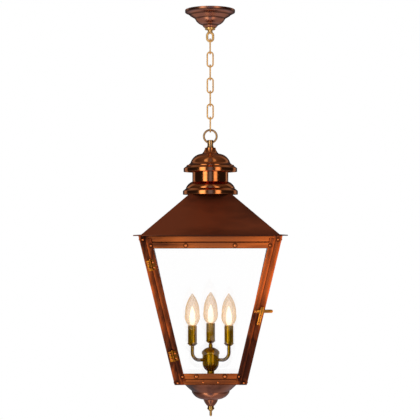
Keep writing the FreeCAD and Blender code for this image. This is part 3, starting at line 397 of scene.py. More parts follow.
# the flange's height, and the step over which painted shadow covers it
FLANGE = 2.2
FLANGE_STEP = 0.6 * MM

# the brightness that a piece starts from, and what each stretch adds or takes away
LOWER_LEFT_POST = 0.1
LEFT_POST_RISE = 0.1
RIGHT_POST_RISE = 1.2
FOOT_LOSS, RIGHT_FOOT_LOSS = 0.2, 0.3
HEAD_LOSS, RIGHT_HEAD_LOSS = 0.15, 0.4
LOWER_RAIL = 0.72
UPPER_RAIL_RISE = 0.7
LEFT_END_LOSS = 1.3
RIGHT_END_LOSS = 0.5
ROOF_TOP = 0.5
EAVES_RISE = 0.3
# painted light on the roof's left side, and painted shadow on the flange under the eaves
ROOF_LEFT_PAINTED_LIGHT = 0.6
FLANGE_PAINTED_SHADOW = 1.7


def upper_half(place):
    """0 on the lower part of the body, rising to 1 above its middle."""
    return ease(parts(place)[2], *UPPER_HALF)


def post_brightness(place):
    """Low on the posts, but high on the upper part of the right ones."""
    across, _, rise = parts(place)
    right = ease(across, *RIGHT_POSTS)
    upper = upper_half(place)
    left_posts = upper * LEFT_POST_RISE + LOWER_LEFT_POST
    right_posts = upper * RIGHT_POST_RISE
    foot = ease(rise, *FOOT_FROM_ABOVE) * ease(rise, *FOOT_FROM_BELOW)
    head = ease(rise, *POST_HEAD)
    fading = foot * (right * RIGHT_FOOT_LOSS + FOOT_LOSS) + head * (right * RIGHT_HEAD_LOSS + HEAD_LOSS)
    return left_posts + right * (right_posts - left_posts) - fading


def rail_brightness(place):
    """High in the middle of the upper rails, falling towards their ends and on the lower rails."""
    across = parts(place)[0]
    ends = ease(across, *RAIL_LEFT_END) * LEFT_END_LOSS + ease(across, *RAIL_RIGHT_END) * RIGHT_END_LOSS
    return upper_half(place) * (UPPER_RAIL_RISE - ends) + LOWER_RAIL


def roof_painted_light_and_shadow(place):
    """Half at the roof's top, rising to the eaves and, as painted light, to the left; painted shadow takes
    the flange below 0.
    """
    across, _, rise = parts(place)
    eaves = (low("roof") + FLANGE) * MM
    to_eaves = ease(rise, high("roof") * MM, eaves) * EAVES_RISE
    painted_light_left = ease(across, *ROOF_LEFT) * ROOF_LEFT_PAINTED_LIGHT
    return to_eaves + painted_light_left + ROOF_TOP - ease(rise, eaves, eaves - FLANGE_STEP) * FLANGE_PAINTED_SHADOW


print("frame_brightness: posts, rails and roof")

# %% [markdown]
# ## A recipe for metal
# Copper and brass are the same recipe with other numbers. Soft patches of noise mix a bright and a dark
# tone, finer noise breaks up the polish, and a faint bump keeps flat sheet from looking like glass.
# Stretching the noise turns patches into brushed streaks on the posts or into spinning lines on the
# cupola. A piece may add a darkening mask, its seam, which is tarnish and painted shade at the frame's
# seams and rivets, and a brightness, its glow, which on the roof holds painted light and painted shadow.

# %% Worn metal
HALF_TONE = 0.5
NOISE_DETAIL = 3.0
PATCH_ROUGHNESS = 0.5
MARK_ROUGHNESS = 0.6
MARKS_PER_PATCH = 8
GLOW_SHARE = 0.7
# how dark the seam mask goes, as a share of the dark tone: tarnish and painted shade
TARNISH_AND_SHADE = 0.2
POLISH_SPREAD = 0.1
LEAST_ROUGHNESS = 0.05
DENT_DEPTH = 0.4 * MM


def new_material(name):
    material = bpy.data.materials.new(name)
    material.use_nodes = True
    material.node_tree.nodes.clear()
    return material, material.node_tree


def end_in_shader(tree, sockets):
    """End a material's tree in one Principled shader with these sockets."""
    shader = add_node(tree, "ShaderNodeBsdfPrincipled", {}, sockets)
    add_node(tree, "ShaderNodeOutputMaterial", {}, {"Surface": shader})


def metal(name, bright, dark, roughness, patch, stretch, contrast, grain, dent,
          seam=None, glow=None, metallic=1.0):
    """A worn metal: two tones in patches, an uneven polish and a faint bump."""
    material, tree = new_material(name)
    place = add_node(tree, "ShaderNodeTexCoord", {}, {}, output="Object")
    stretched = add_node(tree, "ShaderNodeMapping", {}, {"Vector": place, "Scale": stretch})
    noise = {"Vector": stretched, "Detail": NOISE_DETAIL}
    patches = add_node(tree, "ShaderNodeTexNoise", {},
                       {**noise, "Scale": patch, "Roughness": PATCH_ROUGHNESS})
    marks = add_node(tree, "ShaderNodeTexNoise", {},
                     {**noise, "Scale": patch * MARKS_PER_PATCH, "Roughness": MARK_ROUGHNESS})
    tone = (patches - HALF_TONE) * contrast + (marks - HALF_TONE) * grain + HALF_TONE
    if glow:
        tone = tone + (glow(place) - HALF_TONE) * GLOW_SHARE
    colour = colour_mix(tree, tone.at_least(0.0).at_most(1.0), dark, bright)
    # the seam mask mixes in the darkened tone: tarnish and painted shade
    if seam:
        tarnish_and_shade = [channel * TARNISH_AND_SHADE for channel in dark]
        colour = colour_mix(tree, seam(place), colour, tarnish_and_shade)
    polish = roughness + (marks - HALF_TONE) * POLISH_SPREAD - (patches - HALF_TONE) * POLISH_SPREAD
    bump = add_node(tree, "ShaderNodeBump", {},
                    {"Strength": dent, "Distance": DENT_DEPTH, "Height": patches})
    end_in_shader(tree, {"Base Color": colour, "Metallic": metallic,
                         "Roughness": polish.at_least(LEAST_ROUGHNESS), "Normal": bump})
    return material


print("recipe for metal ready")

# %% [markdown]
# ## Glass, light and plain finishes
# The panes are clear, so nearly everything goes straight through them. A candle lamp is a thin amber
# envelope: looked through straight it is clear, and at its edge it is dense. Steel and plastic inside the
# lantern are one colour each.

# %% Glass, glow and plain colours
PANE_IOR = 1.5
EDGE_BLEND = 0.35
ENVELOPE_ROUGHNESS = 0.08
ENVELOPE_GLOW = 0.2
FILAMENT_ROUGHNESS = 0.6


def plain(name, colour, roughness, metallic=0.0):
    material, tree = new_material(name)
    end_in_shader(tree, {"Base Color": (*colour, 1.0), "Roughness": roughness, "Metallic": metallic})
    return material


def see_through(name, colour, alpha):
    """Thin glass: mostly straight through, with the rest clear glass that keeps its reflections."""
    material, tree = new_material(name)
    end_in_shader(tree, {"Base Color": (*colour, 1.0), "Roughness": 0.0, "IOR": PANE_IOR,
                         "Transmission Weight": 1.0, "Alpha": alpha})
    return material


def blown_glass(name, colour, middle, edge):
    """A thin tinted envelope, clearer where it is looked through straight and denser at its edge."""
    material, tree = new_material(name)
    turned_away = add_node(tree, "ShaderNodeLayerWeight", {}, {"Blend": EDGE_BLEND}, output="Facing")
    density = turned_away * (edge - middle) + middle
    end_in_shader(tree, {"Base Color": (*colour, 1.0), "Roughness": ENVELOPE_ROUGHNESS, "Alpha": density,
                         "Emission Color": (*colour, 1.0), "Emission Strength": ENVELOPE_GLOW})
    return material


def lit(name, colour, strength):
    """A glowing body."""
    material, tree = new_material(name)
    end_in_shader(tree, {"Base Color": (*colour, 1.0), "Roughness": FILAMENT_ROUGHNESS,
                         "Emission Color": (*colour, 1.0), "Emission Strength": strength})
    return material


print("glass and plain finishes ready")

# %% [markdown]
# ## The finishes
# Each metal is now one row of numbers. The canopy is a brownish copper, the cupola is polished, the bowl
# is stained and the roof is dull. Posts are brushed along their length and rails along theirs. The brasses
# run from the pale chain to the olive candle cluster.

# %% Mix the finishes
EVENLY = (1, 1, 1)
ALONG_POSTS = (1, 1, 0.1)
ALONG_RAILS = (0.1, 0.1, 1)
ALONG_ROOF = (0.5, 0.5, 2.0)
ROUND_THE_SPIN = (1, 1, 6)
SMOOTH = dict(stretch=EVENLY, contrast=0.8, grain=0.1, dent=0.02)
METALS = {
    "canopy_copper": dict(bright=(0.72, 0.31, 0.185), dark=(0.20, 0.08, 0.058), roughness=0.28, patch=22,
                          stretch=ROUND_THE_SPIN, contrast=0.6, grain=0.1, dent=0.03, seam=canopy_rings),
    "cupola_copper": dict(bright=(0.76, 0.29, 0.10), dark=(0.46, 0.15, 0.05), roughness=0.14, patch=20,
                          stretch=ROUND_THE_SPIN, contrast=1.2, grain=0.15, dent=0.05),
    "bowl_copper": dict(bright=(0.43, 0.17, 0.10), dark=(0.045, 0.016, 0.012), roughness=0.3, patch=16,
                        stretch=EVENLY, contrast=3.2, grain=0.15, dent=0.05),
    "roof_copper": dict(bright=(0.54, 0.16, 0.07), dark=(0.10, 0.034, 0.022), roughness=0.5, patch=9,
                        stretch=ALONG_ROOF, contrast=2.2, grain=0.2, dent=0.04, glow=roof_painted_light_and_shadow),
    "frame_copper": dict(bright=(1.0, 0.20, 0.038), dark=(0.085, 0.022, 0.010), roughness=0.36, patch=90,
                         stretch=ALONG_POSTS, contrast=1.4, grain=0.1, dent=0.04,
                         seam=post_seam_tarnish_and_shade, glow=post_brightness),
    "rail_copper": dict(bright=(0.72, 0.185, 0.042), dark=(0.10, 0.028, 0.012), roughness=0.38, patch=110,
                        stretch=ALONG_RAILS, contrast=1.8, grain=0.12, dent=0.04,
                        seam=rail_seam_tarnish_and_shade, glow=rail_brightness),
    "rivet_copper": dict(bright=(1.0, 0.30, 0.085), dark=(0.80, 0.21, 0.055), roughness=0.18, patch=120,
                         seam=rivet_skirt_tarnish_and_shade, **SMOOTH),
    "hinge_brass": dict(bright=(0.46, 0.17, 0.016), dark=(0.24, 0.085, 0.008), roughness=0.3, patch=60,
                        **SMOOTH),
    "polished_brass": dict(bright=(1.0, 0.39, 0.045), dark=(0.66, 0.23, 0.026), roughness=0.3, patch=60,
                           **SMOOTH),
    "finial_brass": dict(bright=(0.68, 0.42, 0.13), dark=(0.33, 0.19, 0.06), roughness=0.2, patch=60,
                         **SMOOTH),
    "loop_brass": dict(bright=(0.95, 0.62, 0.24), dark=(0.70, 0.42, 0.15), roughness=0.32, patch=60,
                       metallic=0.8, **SMOOTH),
    "chain_brass": dict(bright=(0.98, 0.60, 0.21), dark=(0.80, 0.45, 0.14), roughness=0.4, patch=60,
                        metallic=0.65, **SMOOTH),
    "antique_brass": dict(bright=(0.66, 0.42, 0.19), dark=(0.40, 0.22, 0.09), roughness=0.28, patch=60,
                          **SMOOTH),
    "cluster_brass": dict(bright=(0.60, 0.33, 0.006), dark=(0.36, 0.19, 0.003), roughness=0.34, patch=40,
                          **SMOOTH),
}
finishes = {name: metal(name, **look) for name, look in METALS.items()}
finishes["clear_glass"] = see_through("clear_glass", WHITE, alpha=0.05)
finishes["bulb_glass"] = blown_glass("bulb_glass", (0.76, 0.51, 0.26), middle=0.35, edge=0.92)
finishes["zinc_steel"] = plain("zinc_steel", (0.55, 0.55, 0.56), roughness=0.35, metallic=1.0)
finishes["socket_plastic"] = plain("socket_plastic", (0.75, 0.73, 0.68), roughness=0.5)
lamp_light = lit("lamp_light", (1.0, 0.88, 0.66), strength=1.6)
floor.data.materials.append(plain("pale_floor", (0.62, 0.60, 0.58), roughness=0.7))
print("finishes:", ", ".join(finishes))

# %% [markdown]
# ## Helpers for pieces
# Each piece rides on the body that carries it, takes its finish, and hides the solids that it stands for.
# Edges get a small round, because a folded sheet or a turned rim catches light there. A solid arrives in
# triangles, so a copy of it is merged into clean faces first.

# %% Round the edges and hand a piece over
SHARP_ANGLE = math.radians(35)
FLAT_ANGLE = math.radians(0.5)
BEVEL_STEPS = 2
MERGE_DISTANCE = 1e-6


def new_piece(name, mesh):
    piece = bpy.data.objects.new(name, mesh)
    bpy.context.scene.collection.objects.link(piece)
    return piece


def cleaned(mesh, join_flat=False):
    """Merge a mesh's doubles, join its flat faces where asked, and turn its faces outwards."""
    work = bmesh.new()
    work.from_mesh(mesh)
    bmesh.ops.remove_doubles(work, verts=work.verts, dist=MERGE_DISTANCE)
    if join_flat:
        bmesh.ops.dissolve_limit(work, angle_limit=FLAT_ANGLE, verts=work.verts, edges=work.edges)
    bmesh.ops.recalc_face_normals(work, faces=work.faces)
    work.to_mesh(mesh)
    work.free()
    return mesh


def baked(piece):
    """Turn a piece with modifiers into a plain mesh."""
    graph = bpy.context.evaluated_depsgraph_get()
    mesh = bpy.data.meshes.new_from_object(piece.evaluated_get(graph))
    piece.modifiers.clear()
    piece.data = mesh
    return piece


def rounded(piece, edge):
    """Round the sharp edges and shade the rest smooth."""
    if edge:
        bevel = piece.modifiers.new("edge", "BEVEL")
        bevel.width = edge
        bevel.segments = BEVEL_STEPS
        bevel.limit_method = "ANGLE"
        bevel.angle_limit = SHARP_ANGLE
        baked(piece)
    piece.data.shade_smooth()
    piece.data.set_sharp_from_angle(angle=SHARP_ANGLE)
    return piece


def hand_over(piece, body, finish, *stands_for):
    """Give a piece its finish and its body, and hide the solids that it stands for."""
    piece.data.materials.clear()
    piece.data.materials.append(finishes[finish])
    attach(piece, body)
    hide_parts(*stands_for)


print("helpers ready")

# %% [markdown]
# ## The lathe
# A spun cupola, a turned finial and a candle lamp are all one outline turned about an upright axis. An
# outline is a list of radius and height in millimetres, and two more numbers make the step before it an
# arc: its radius and the side to which it bulges. Heights count from a level of the solid that the piece
# stands for. Spun sheet repeats its line one wall further in.

# %% A lathe with arcs
LATHE_SIDES = 120
ARC_STEPS = 10


def arc_points(start, end, radius, side):
    """Points after start on an arc that bulges to the left (1) or right (-1) of the way along it."""
    chord = end - start
    half = chord.length / 2
    left = Vector((-chord.y, chord.x)).normalized()
    centre = (start + end) / 2 - left * (side * math.sqrt(radius**2 - half**2))
    sweep = -side * 2 * math.asin(half / radius)
    arm = start - centre
    turns = [sweep * step / ARC_STEPS for step in range(1, ARC_STEPS + 1)]
    return [centre + Matrix.Rotation(turn, 2) @ arm for turn in turns]


def traced(outline):
    line = [Vector(outline[0][:2])]
    for point in outline[1:]:
        end = Vector(point[:2])
        line.extend(arc_points(line[-1], end, *point[2:]) if len(point) > 2 else [end])
    return line


def turned(name, level, outline, wall=0.0, rise=0.0, closed=False, spots=((0, 0),)):
    """Turn an outline about the upright axis through each spot. A wall makes it a spun sheet."""
    line = traced(outline)
    if wall:
        inner = [point + Vector((-wall, rise)) for point in reversed(line[1:-1])]
        line = line + [line[-1] - Vector((wall, 0))] + inner + [line[0] + Vector((0, rise))]
    rows = len(line)
    steps = rows if wall or closed else rows - 1
    points = []
    faces = []
    for spot_x, spot_y in spots:
        base = len(points)
        for index in range(LATHE_SIDES):
            angle = math.tau * index / LATHE_SIDES
            for radius, height in line:
                x = spot_x + radius * math.cos(angle)
                y = spot_y + radius * math.sin(angle)
                points.append(Vector((x, y, level + height)) * MM)
        for index in range(LATHE_SIDES):
            here = base + index * rows
            there = base + (index + 1) % LATHE_SIDES * rows
            for row in range(steps):
                after = (row + 1) % rows
                faces.append((here + row, there + row, there + after, here + after))
    mesh = bpy.data.meshes.new(name)
    mesh.from_pydata(points, [], faces)
    return new_piece(name, cleaned(mesh))


print("lathe ready")

# %% [markdown]
# ## Spun copper
# The canopy at the ceiling, the cupola above the roof and the bowl under the body are spun from thin
# sheet. Only the drum between the cupola's cap and base is a plain tube.

# %% Spin the canopy, the cupola and the bowl
SHEET = 1.0
SPUN_EDGE = 0.35 * MM
DRUM_OUTER = 40.4


def spun(node, body, finish, rise, outline):
    """Spin one sheet, with heights from its solid's top and its inner face above or below the outer."""
    piece = turned(node + "_spun", high(node), outline, SHEET, rise)
    hand_over(rounded(piece, SPUN_EDGE), body, finish, node)


spun("canopy", "ceiling", "canopy_copper", SHEET, [
    (3.9, -39.5), (13.5, -39.5), (17, -35.1, 18, -1), (19.5, -33.2), (33.5, -20.9, 24, -1), (34.5, -19),
    (45.5, -12.4), (46.5, -10.5), (54.2, -6.5), (56.2, -4.5, 2, -1), (56.2, 0),
])
spun("cupola_cap", "lantern", "cupola_copper", -SHEET, [
    (4.1, 0), (12, 0), (19.3, -13.5, 22, -1), (44.5, -33, 28, 1), (53.4, -39.2, 12, -1), (53.4, -41),
    (60.2, -46), (60.2, -54),
])
drum_inner = DRUM_OUTER - SHEET
drum_height = high("cupola_drum") - low("cupola_drum")
drum = turned("cupola_drum_spun", low("cupola_drum"), [
    (drum_inner, 0), (DRUM_OUTER, 0), (DRUM_OUTER, drum_height), (drum_inner, drum_height),
], closed=True)
hand_over(rounded(drum, 0), "lantern", "cupola_copper", "cupola_drum")
spun("cupola_base", "lantern", "cupola_copper", -SHEET, [
    (38.4, 0), (41.4, 0), (54.8, -13.2, 26, 1), (54.8, -15), (61.8, -20.6), (61.8, -28.8),
])
spun("bottom_bowl", "lantern", "bowl_copper", SHEET, [
    (3.1, -56.4), (7.7, -56.4), (16.5, -41.6, 30, -1), (17.5, -40.6), (42.4, -25, 27, -1), (42.4, -22.5),
    (66, 0, 220, -1),
])
print("spun pieces: canopy, cap, drum, base, bowl")

# %% [markdown]
# ## Turned brass
# The screw collar under the canopy and the finial under the bowl are turned from solid brass.

# %% Turn the collar and the finial
TURNED_EDGE = 0.3 * MM


def turned_brass(node, body, finish, level, outline, **lathe):
    """Turn one brass piece, with heights from a level of its solid."""
    piece = turned(node + "_turned", level, outline, **lathe)
    hand_over(rounded(piece, TURNED_EDGE), body, finish, node)


turned_brass("screw_collar", "ceiling", "loop_brass", low("screw_collar"), [
    (3.9, 0), (10.5, 0), (11.7, 1.2, 1.2, -1), (11.7, 3.8), (10.5, 5, 1.2, -1), (3.9, 5),
], closed=True)
turned_brass("bottom_finial", "lantern", "finial_brass", high("bottom_finial"), [
    (0, -8), (3.1, -8), (3.1, 0), (6.9, 0), (6.9, -3.1), (8.4, -6.2), (3.9, -11.3), (2.9, -11.3),
    (2.9, -20.5), (0, -23.4, 2.9, 1),
])
print("turned pieces: collar and finial")

# %% [markdown]
# ## The candle cluster
# Stem, hub and cap stand on the lantern's axis. Cups and sleeves stand where the lamps are, on a circle
# with one at the back and two at the front. The lamps' solids give those places.

# %% Turn the candle cluster
BULBS = ["bulb_1", "bulb_2", "bulb_3"]
candle_spots = [(sum(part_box(bulb), Vector()) / 2 / MM)[:2] for bulb in BULBS]

turned_brass("cluster_stem", "lantern", "cluster_brass", low("cluster_stem"), [
    (3.1, 0), (7.9, 0), (7.9, 20.9), (3.1, 20.9),
], closed=True)
turned_brass("cluster_hub", "lantern", "cluster_brass", low("cluster_hub"), [
    (0, 0), (7.9, 0), (18.3, 17, 20, -1), (18.3, 38), (0, 38),
])
turned_brass("hub_cap", "lantern", "cluster_brass", low("hub_cap"), [
    (0, 0), (19.9, 0), (19.9, 5), (4.5, 15, 24, -1), (4.5, 19.5), (0, 24, 4.5, -1),
])
turned_brass("candle_cups", "lantern", "cluster_brass", low("candle_cups"), [
    (3.9, 0), (6, 0), (11.6, 5), (3.9, 5),
], closed=True, spots=candle_spots)
turned_brass("candle_sleeves", "lantern", "cluster_brass", low("candle_sleeves"), [
    (9, 0), (10, 0), (10, 40), (9, 40),
], closed=True, spots=candle_spots)
print("turned pieces: stem, hub, cap, cups, sleeves")

# %% [markdown]
# ## Candle lamps
# Each lamp is a clear amber envelope. Inside it a slim spindle of light stands for the glowing filament.

# %% Blow the lamps
for bulb, spot in zip(BULBS, candle_spots):
    lamp = turned(bulb + "_blown", low(bulb), [
        (0, 0), (5.8, 0), (5.8, 16), (7.4, 16), (15.9, 43, 26, -1), (2.5, 84.9, 64, -1), (0, 87.4, 2.5, -1),
    ], spots=[spot])
    hand_over(rounded(lamp, 0), "lantern", "bulb_glass", bulb)

filament = turned("lamp_filaments", low("bulb_1"), [
    (0, 17), (4, 18), (6.2, 32, 30, -1), (1, 58, 60, -1), (0, 59),
], spots=candle_spots)
rounded(filament, 0)
filament.data.materials.append(lamp_light)
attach(filament, "lantern")
print("lamps:", len(candle_spots))

# %% [markdown]
# ## Trees that grow pieces
# Chain links and rivet heads repeat, so two trees of Geometry Nodes grow them. Both begin with named
# inputs for their sizes and their finish, and both end the same way: smooth shading, instances made real
# and one material. Running a tree on a new piece leaves a plain mesh.

# %% Begin, end and run a tree
def tree_with_inputs(name, numbers, takes_geometry=False):
    """A Geometry Nodes tree with float inputs and a material, and its input node's outputs by name."""
    tree = bpy.data.node_groups.new(name, "GeometryNodeTree")
    tree.is_modifier = True
    tree.interface.new_socket("Geometry", in_out="OUTPUT", socket_type="NodeSocketGeometry")
    if takes_geometry:
        tree.interface.new_socket("Geometry", in_out="INPUT", socket_type="NodeSocketGeometry")
    for number in numbers:
        tree.interface.new_socket(number, in_out="INPUT", socket_type="NodeSocketFloat")
    tree.interface.new_socket("Finish", in_out="INPUT", socket_type="NodeSocketMaterial")
    start = tree.nodes.new("NodeGroupInput")
    given = {output.name: Socket(tree, output) for output in start.outputs if output.name}
    return tree, given


def close_tree(tree, geometry, finish):
    """End a tree: smooth shading, no instances left and one material."""
    smooth = add_node(tree, "GeometryNodeSetShadeSmooth", {}, {0: geometry})
    plain_mesh = add_node(tree, "GeometryNodeRealizeInstances", {}, {"Geometry": smooth})
    painted = add_node(tree, "GeometryNodeSetMaterial", {}, {"Geometry": plain_mesh, "Material": finish})
    add_node(tree, "NodeGroupOutput", {}, {"Geometry": painted})


def grown(name, tree, values, mesh=None):
    """Run a tree on a new piece, with its inputs set by identifier, and keep the plain mesh."""
    piece = new_piece(name, mesh or bpy.data.meshes.new(name))
    modifier = piece.modifiers.new("grow", "NODES")
    modifier.node_group = tree
    for item in tree.interface.items_tree:
        if item.in_out == "INPUT" and item.name in values:
            modifier[item.identifier] = values[item.name]
    return baked(piece)


print("trees can be begun, ended and run")

# %% [markdown]
# ## Links
# One tree bends a round wire into a link. A circle of points is pulled apart into two half circles with
# straight sides between them, and a smaller circle is swept along it. Length, width, wire, level and turn
# are inputs, so seven links and the round ring come from the same tree.

# %% Bend a wire into a link
LINK_STEPS = 64
WIRE_SIDES = 20

link_tree, given = tree_with_inputs("wire_link", ["Length", "Width", "Wire", "Level", "Turn"])
radius = (given["Width"] - given["Wire"]) * 0.5
pull = (given["Length"] - given["Width"]) * 0.5
circle = add_node(link_tree, "GeometryNodeCurvePrimitiveCircle", {},
                  {"Resolution": LINK_STEPS, "Radius": radius})
position = add_node(link_tree, "GeometryNodeInputPosition", {}, {})
end = add_node(link_tree, "ShaderNodeMath", {"operation": "SIGN"}, {0: parts(position)[1]})
apart = add_node(link_tree, "ShaderNodeCombineXYZ", {}, {"Y": end * pull})
oval = add_node(link_tree, "GeometryNodeSetPosition", {}, {"Geometry": circle, "Offset": apart})
wire = add_node(link_tree, "GeometryNodeCurvePrimitiveCircle", {},
                {"Resolution": WIRE_SIDES, "Radius": given["Wire"] * 0.5})
swept = add_node(link_tree, "GeometryNodeCurveToMesh", {}, {"Curve": oval, "Profile Curve": wire})
hung = add_node(link_tree, "ShaderNodeCombineXYZ", {}, {"Z": given["Level"]})
upright = add_node(link_tree, "ShaderNodeCombineXYZ", {}, {"X": math.radians(90), "Z": given["Turn"]})
placed = add_node(link_tree, "GeometryNodeTransform", {},
                  {"Geometry": swept, "Translation": hung, "Rotation": upright})
close_tree(link_tree, placed, given["Finish"])
print("link tree with inputs:", ", ".join(given))

# %% [markdown]
# ## The chain
# Every second link is turned a quarter. Each solid's own box tells its length, its width, its wire, its
# level and which way it is turned, so a link is grown from that box alone.

# %% Hang the chain
LINK_COUNT = 7


def bent(node, body, finish):
    """A link of the size and place of its solid."""
    lowest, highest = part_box(node)
    reach = highest - lowest
    link = grown(node + "_bent", link_tree, {
        "Length": reach.z,
        "Width": max(reach.x, reach.y),
        "Wire": min(reach.x, reach.y),
        "Level": (lowest.z + highest.z) / 2,
        "Turn": math.radians(90 if reach.y > reach.x else 0),
        "Finish": finishes[finish],
    })
    hand_over(link, body, finish, node)


for number in range(1, LINK_COUNT + 1):
    bent(f"chain_link_{number}", f"link_{number}", "chain_brass")
bent("hanging_ring", "ring", "antique_brass")
print("links:", LINK_COUNT, "and one ring")

# %% [markdown]
# ## Sheet metal
# Posts, bands, roof, door and hinges keep their solid's shape. Each becomes one clean mesh with its folded
# or sheared edges rounded, so a thin line of light runs along them.

# %% Dress the sheet metal
FOLDED = 0.3 * MM
ROOF_FOLD = 0.5 * MM
LEAF_EDGE = 0.15 * MM
FILED = 0.2 * MM
LATCH_EDGE = 0.4 * MM
AS_MADE = 0
DRESSED = [
    # body, finish, edge, then the solids
    ("lantern", "frame_copper", FOLDED, "post_front_left", "post_front_right"),
    ("lantern", "frame_copper", FOLDED, "post_back_left", "post_back_right"),
    ("lantern", "rail_copper", FOLDED, "top_band", "bottom_pan"),
    ("door", "frame_copper", FOLDED, "door_stile_left", "door_stile_right"),
    ("door", "rail_copper", FOLDED, "door_top_rail", "door_bottom_rail"),
    ("lantern", "roof_copper", ROOF_FOLD, "roof"),
    ("lantern", "antique_brass", FILED, "ring_holder"),
    ("ceiling", "loop_brass", AS_MADE, "canopy_loop"),
    ("lantern", "hinge_brass", LEAF_EDGE, "hinge_post_leaves"),
    ("lantern", "polished_brass", AS_MADE, "hinge_pins"),
    ("lantern", "polished_brass", FILED, "latch_keeper"),
    ("door", "hinge_brass", LEAF_EDGE, "hinge_door_leaves"),
    ("latch", "polished_brass", LATCH_EDGE, "latch_bar"),
    ("lantern", "cluster_brass", AS_MADE, "candle_arm_1", "candle_arm_2", "candle_arm_3"),
    ("lantern", "clear_glass", FOLDED, "glass_left", "glass_right", "glass_back"),
    ("door", "clear_glass", FOLDED, "door_glass"),
]

for body, finish, edge, *solids in DRESSED:
    for node in solids:
        piece = new_piece(node + "_dressed", cleaned(nodes[node].data.copy(), join_flat=True))
        hand_over(rounded(piece, edge), body, finish, node)
print("sheet metal and panes dressed")

# %% [markdown]
# ## Rivets
# Small domed rivets hold posts, hinges and keeper, and larger buttons hold the door's rails. A second tree
# puts a head on each place of a list, turns it to face out of the sheet and lets a place ask for more
# size. It also marks the skirt of each head, where the finish is darkened as tarnish and painted shade.

# %% Grow rivet heads
RIVET_RADIUS = 2.6
RIVET_DOME = 1.3
BUTTON_RADIUS = 3.8
BUTTON_DOME = 1.7
RIVET = (1.0, 1.0, 1.0)
BUTTON = (BUTTON_RADIUS / RIVET_RADIUS, BUTTON_RADIUS / RIVET_RADIUS, BUTTON_DOME / RIVET_DOME)
HEAD_SEGMENTS = 20
HEAD_RINGS = 14
# heights on a head of radius 1: where it is cut off, and where its skirt, darkened as tarnish and painted
# shade, begins and is full
HEAD_FOOT = -0.1
SKIRT = (0.92, 0.6)

rivet_tree, given = tree_with_inputs("rivet_heads", ["Radius", "Dome"], takes_geometry=True)
ball = add_node(rivet_tree, "GeometryNodeMeshUVSphere", {},
                {"Segments": HEAD_SEGMENTS, "Rings": HEAD_RINGS, "Radius": 1.0})
level = parts(add_node(rivet_tree, "GeometryNodeInputPosition", {}, {}))[2]
below = add_node(rivet_tree, "FunctionNodeCompare", {"operation": "LESS_THAN"}, {0: level, 1: HEAD_FOOT})
dome = add_node(rivet_tree, "GeometryNodeDeleteGeometry", {}, {"Geometry": ball, "Selection": below})
reach = add_node(rivet_tree, "ShaderNodeCombineXYZ", {},
                 {"X": given["Radius"], "Y": given["Radius"], "Z": given["Dome"]})
# the skirt mark carries tarnish and painted shade onto each head's lower edge
shaded = add_node(rivet_tree, "GeometryNodeStoreNamedAttribute", {"data_type": "FLOAT", "domain": "POINT"},
                  {"Geometry": dome, "Name": "skirt", "Value": ease(level, *SKIRT)})
head = add_node(rivet_tree, "GeometryNodeTransform", {}, {"Geometry": shaded, "Scale": reach})
vector = {"data_type": "FLOAT_VECTOR"}
outwards = add_node(rivet_tree, "GeometryNodeInputNamedAttribute", vector, {"Name": "outwards"})
growth = add_node(rivet_tree, "GeometryNodeInputNamedAttribute", vector, {"Name": "growth"})
aim = add_node(rivet_tree, "FunctionNodeAlignRotationToVector", {"axis": "Z"}, {"Vector": outwards})
heads = add_node(rivet_tree, "GeometryNodeInstanceOnPoints", {},
                 {"Points": given["Geometry"], "Instance": head, "Rotation": aim, "Scale": growth})
close_tree(rivet_tree, heads, given["Finish"])


def rivet_row(name, spots):
    """Rivet heads on places given as (frame, x, y, z, growth)."""
    mesh = bpy.data.meshes.new(name)
    mesh.from_pydata([(spot[0] @ Vector(spot[1:4])) * MM for spot in spots], [], [])
    outwards = mesh.attributes.new("outwards", "FLOAT_VECTOR", "POINT")
    growth = mesh.attributes.new("growth", "FLOAT_VECTOR", "POINT")
    for index, spot in enumerate(spots):
        outwards.data[index].vector = spot[0].to_3x3() @ Vector((0, 0, 1))
        growth.data[index].vector = spot[4]
    sizes = {"Radius": RIVET_RADIUS * MM, "Dome": RIVET_DOME * MM, "Finish": finishes["rivet_copper"]}
    return grown(name, rivet_tree, sizes, mesh)


print("rivet heads can be grown")

# %% [markdown]
# ## Where the rivets sit
# Post rivets repeat on all four walls. The others belong to the front: two on the pan, two on the latch's
# keeper, four in each hinge, one in each of the door's corners, two on each rail, and the latch's pivot.

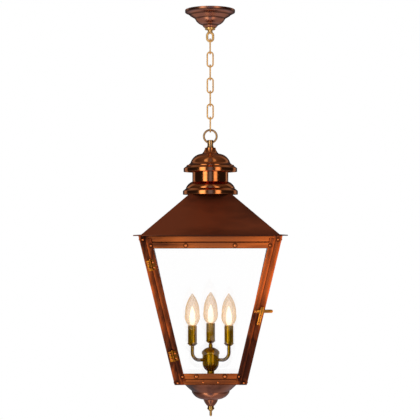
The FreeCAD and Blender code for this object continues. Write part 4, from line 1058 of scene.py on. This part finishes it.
# %% Set the rivets
PAN_RISE, PAN_ASIDE, PAN_FACE = 5.8, 16.2, -1.2
LATCH_RISE, LATCH_INSET, LATCH_FACE = 168.7, 19.2, 4.5
KEEPER_DROPS, KEEPER_FACE = (28, 11.5), 1.2
HINGE_RISES = (WALL - 64, 67)
LEAF_ASIDE, LEAF_ALONG, LEAF_FACE = 5.4, 5.75, 2.5
DOOR_FACE = 1.5
RAIL_FACE = 0.3
BOTH_SIDES = (-1, 1)

front = wall_frame(0)
fixed = []
moving = []
for turn in (0, 90, 180, 270):
    for rise in POST_RIVETS:
        for side in BOTH_SIDES:
            fixed.append((wall_frame(turn), side * (half_width(rise) - POST_EDGE), rise, 0, RIVET))
for side in BOTH_SIDES:
    fixed.append((front, side * PAN_ASIDE, PAN_RISE, PAN_FACE, RIVET))
keeper_at = Matrix.Translation((half_width(LATCH_RISE) - POST_STRIP / 2, LATCH_RISE, 0))
keeper = front @ keeper_at @ Matrix.Rotation(-EDGE_LEAN, 4, "Z")
for drop in KEEPER_DROPS:
    fixed.append((keeper, 0, -drop, KEEPER_FACE, RIVET))
for rise, aside in RAIL_RIVETS:
    for side in BOTH_SIDES:
        moving.append((front, side * (half_width(rise) - STILE_CORNER), rise, DOOR_FACE, RIVET))
        moving.append((front, side * aside, rise, RAIL_FACE, BUTTON))
for rise in HINGE_RISES:
    hinge_at = Matrix.Translation((POST_STRIP - half_width(rise), rise, 0))
    hinge = front @ hinge_at @ Matrix.Rotation(EDGE_LEAN, 4, "Z")
    for side in BOTH_SIDES:
        fixed.append((hinge, -LEAF_ASIDE, side * LEAF_ALONG, LEAF_FACE, RIVET))
        moving.append((hinge, LEAF_ASIDE, side * LEAF_ALONG, LEAF_FACE, RIVET))
moving.append((front, half_width(LATCH_RISE) - LATCH_INSET, LATCH_RISE, LATCH_FACE, RIVET))

hand_over(rivet_row("frame_rivets_set", fixed), "lantern", "rivet_copper", "frame_rivets")
hand_over(rivet_row("door_rivets_set", moving), "door", "rivet_copper", "door_rivets")
print("rivets:", len(fixed), "on the frame and", len(moving), "on the door")

# %% [markdown]
# ## What stays as it is
# Bars, nuts, rods, sockets and clips inside the lantern need no new shape, only their finish.

# %% Finish the inner parts
for entry in frame["record"]["subparts"]:
    solid = nodes[entry["node"]]
    solid.data.materials.clear()
    solid.data.materials.append(finishes[entry["material_slot"]])
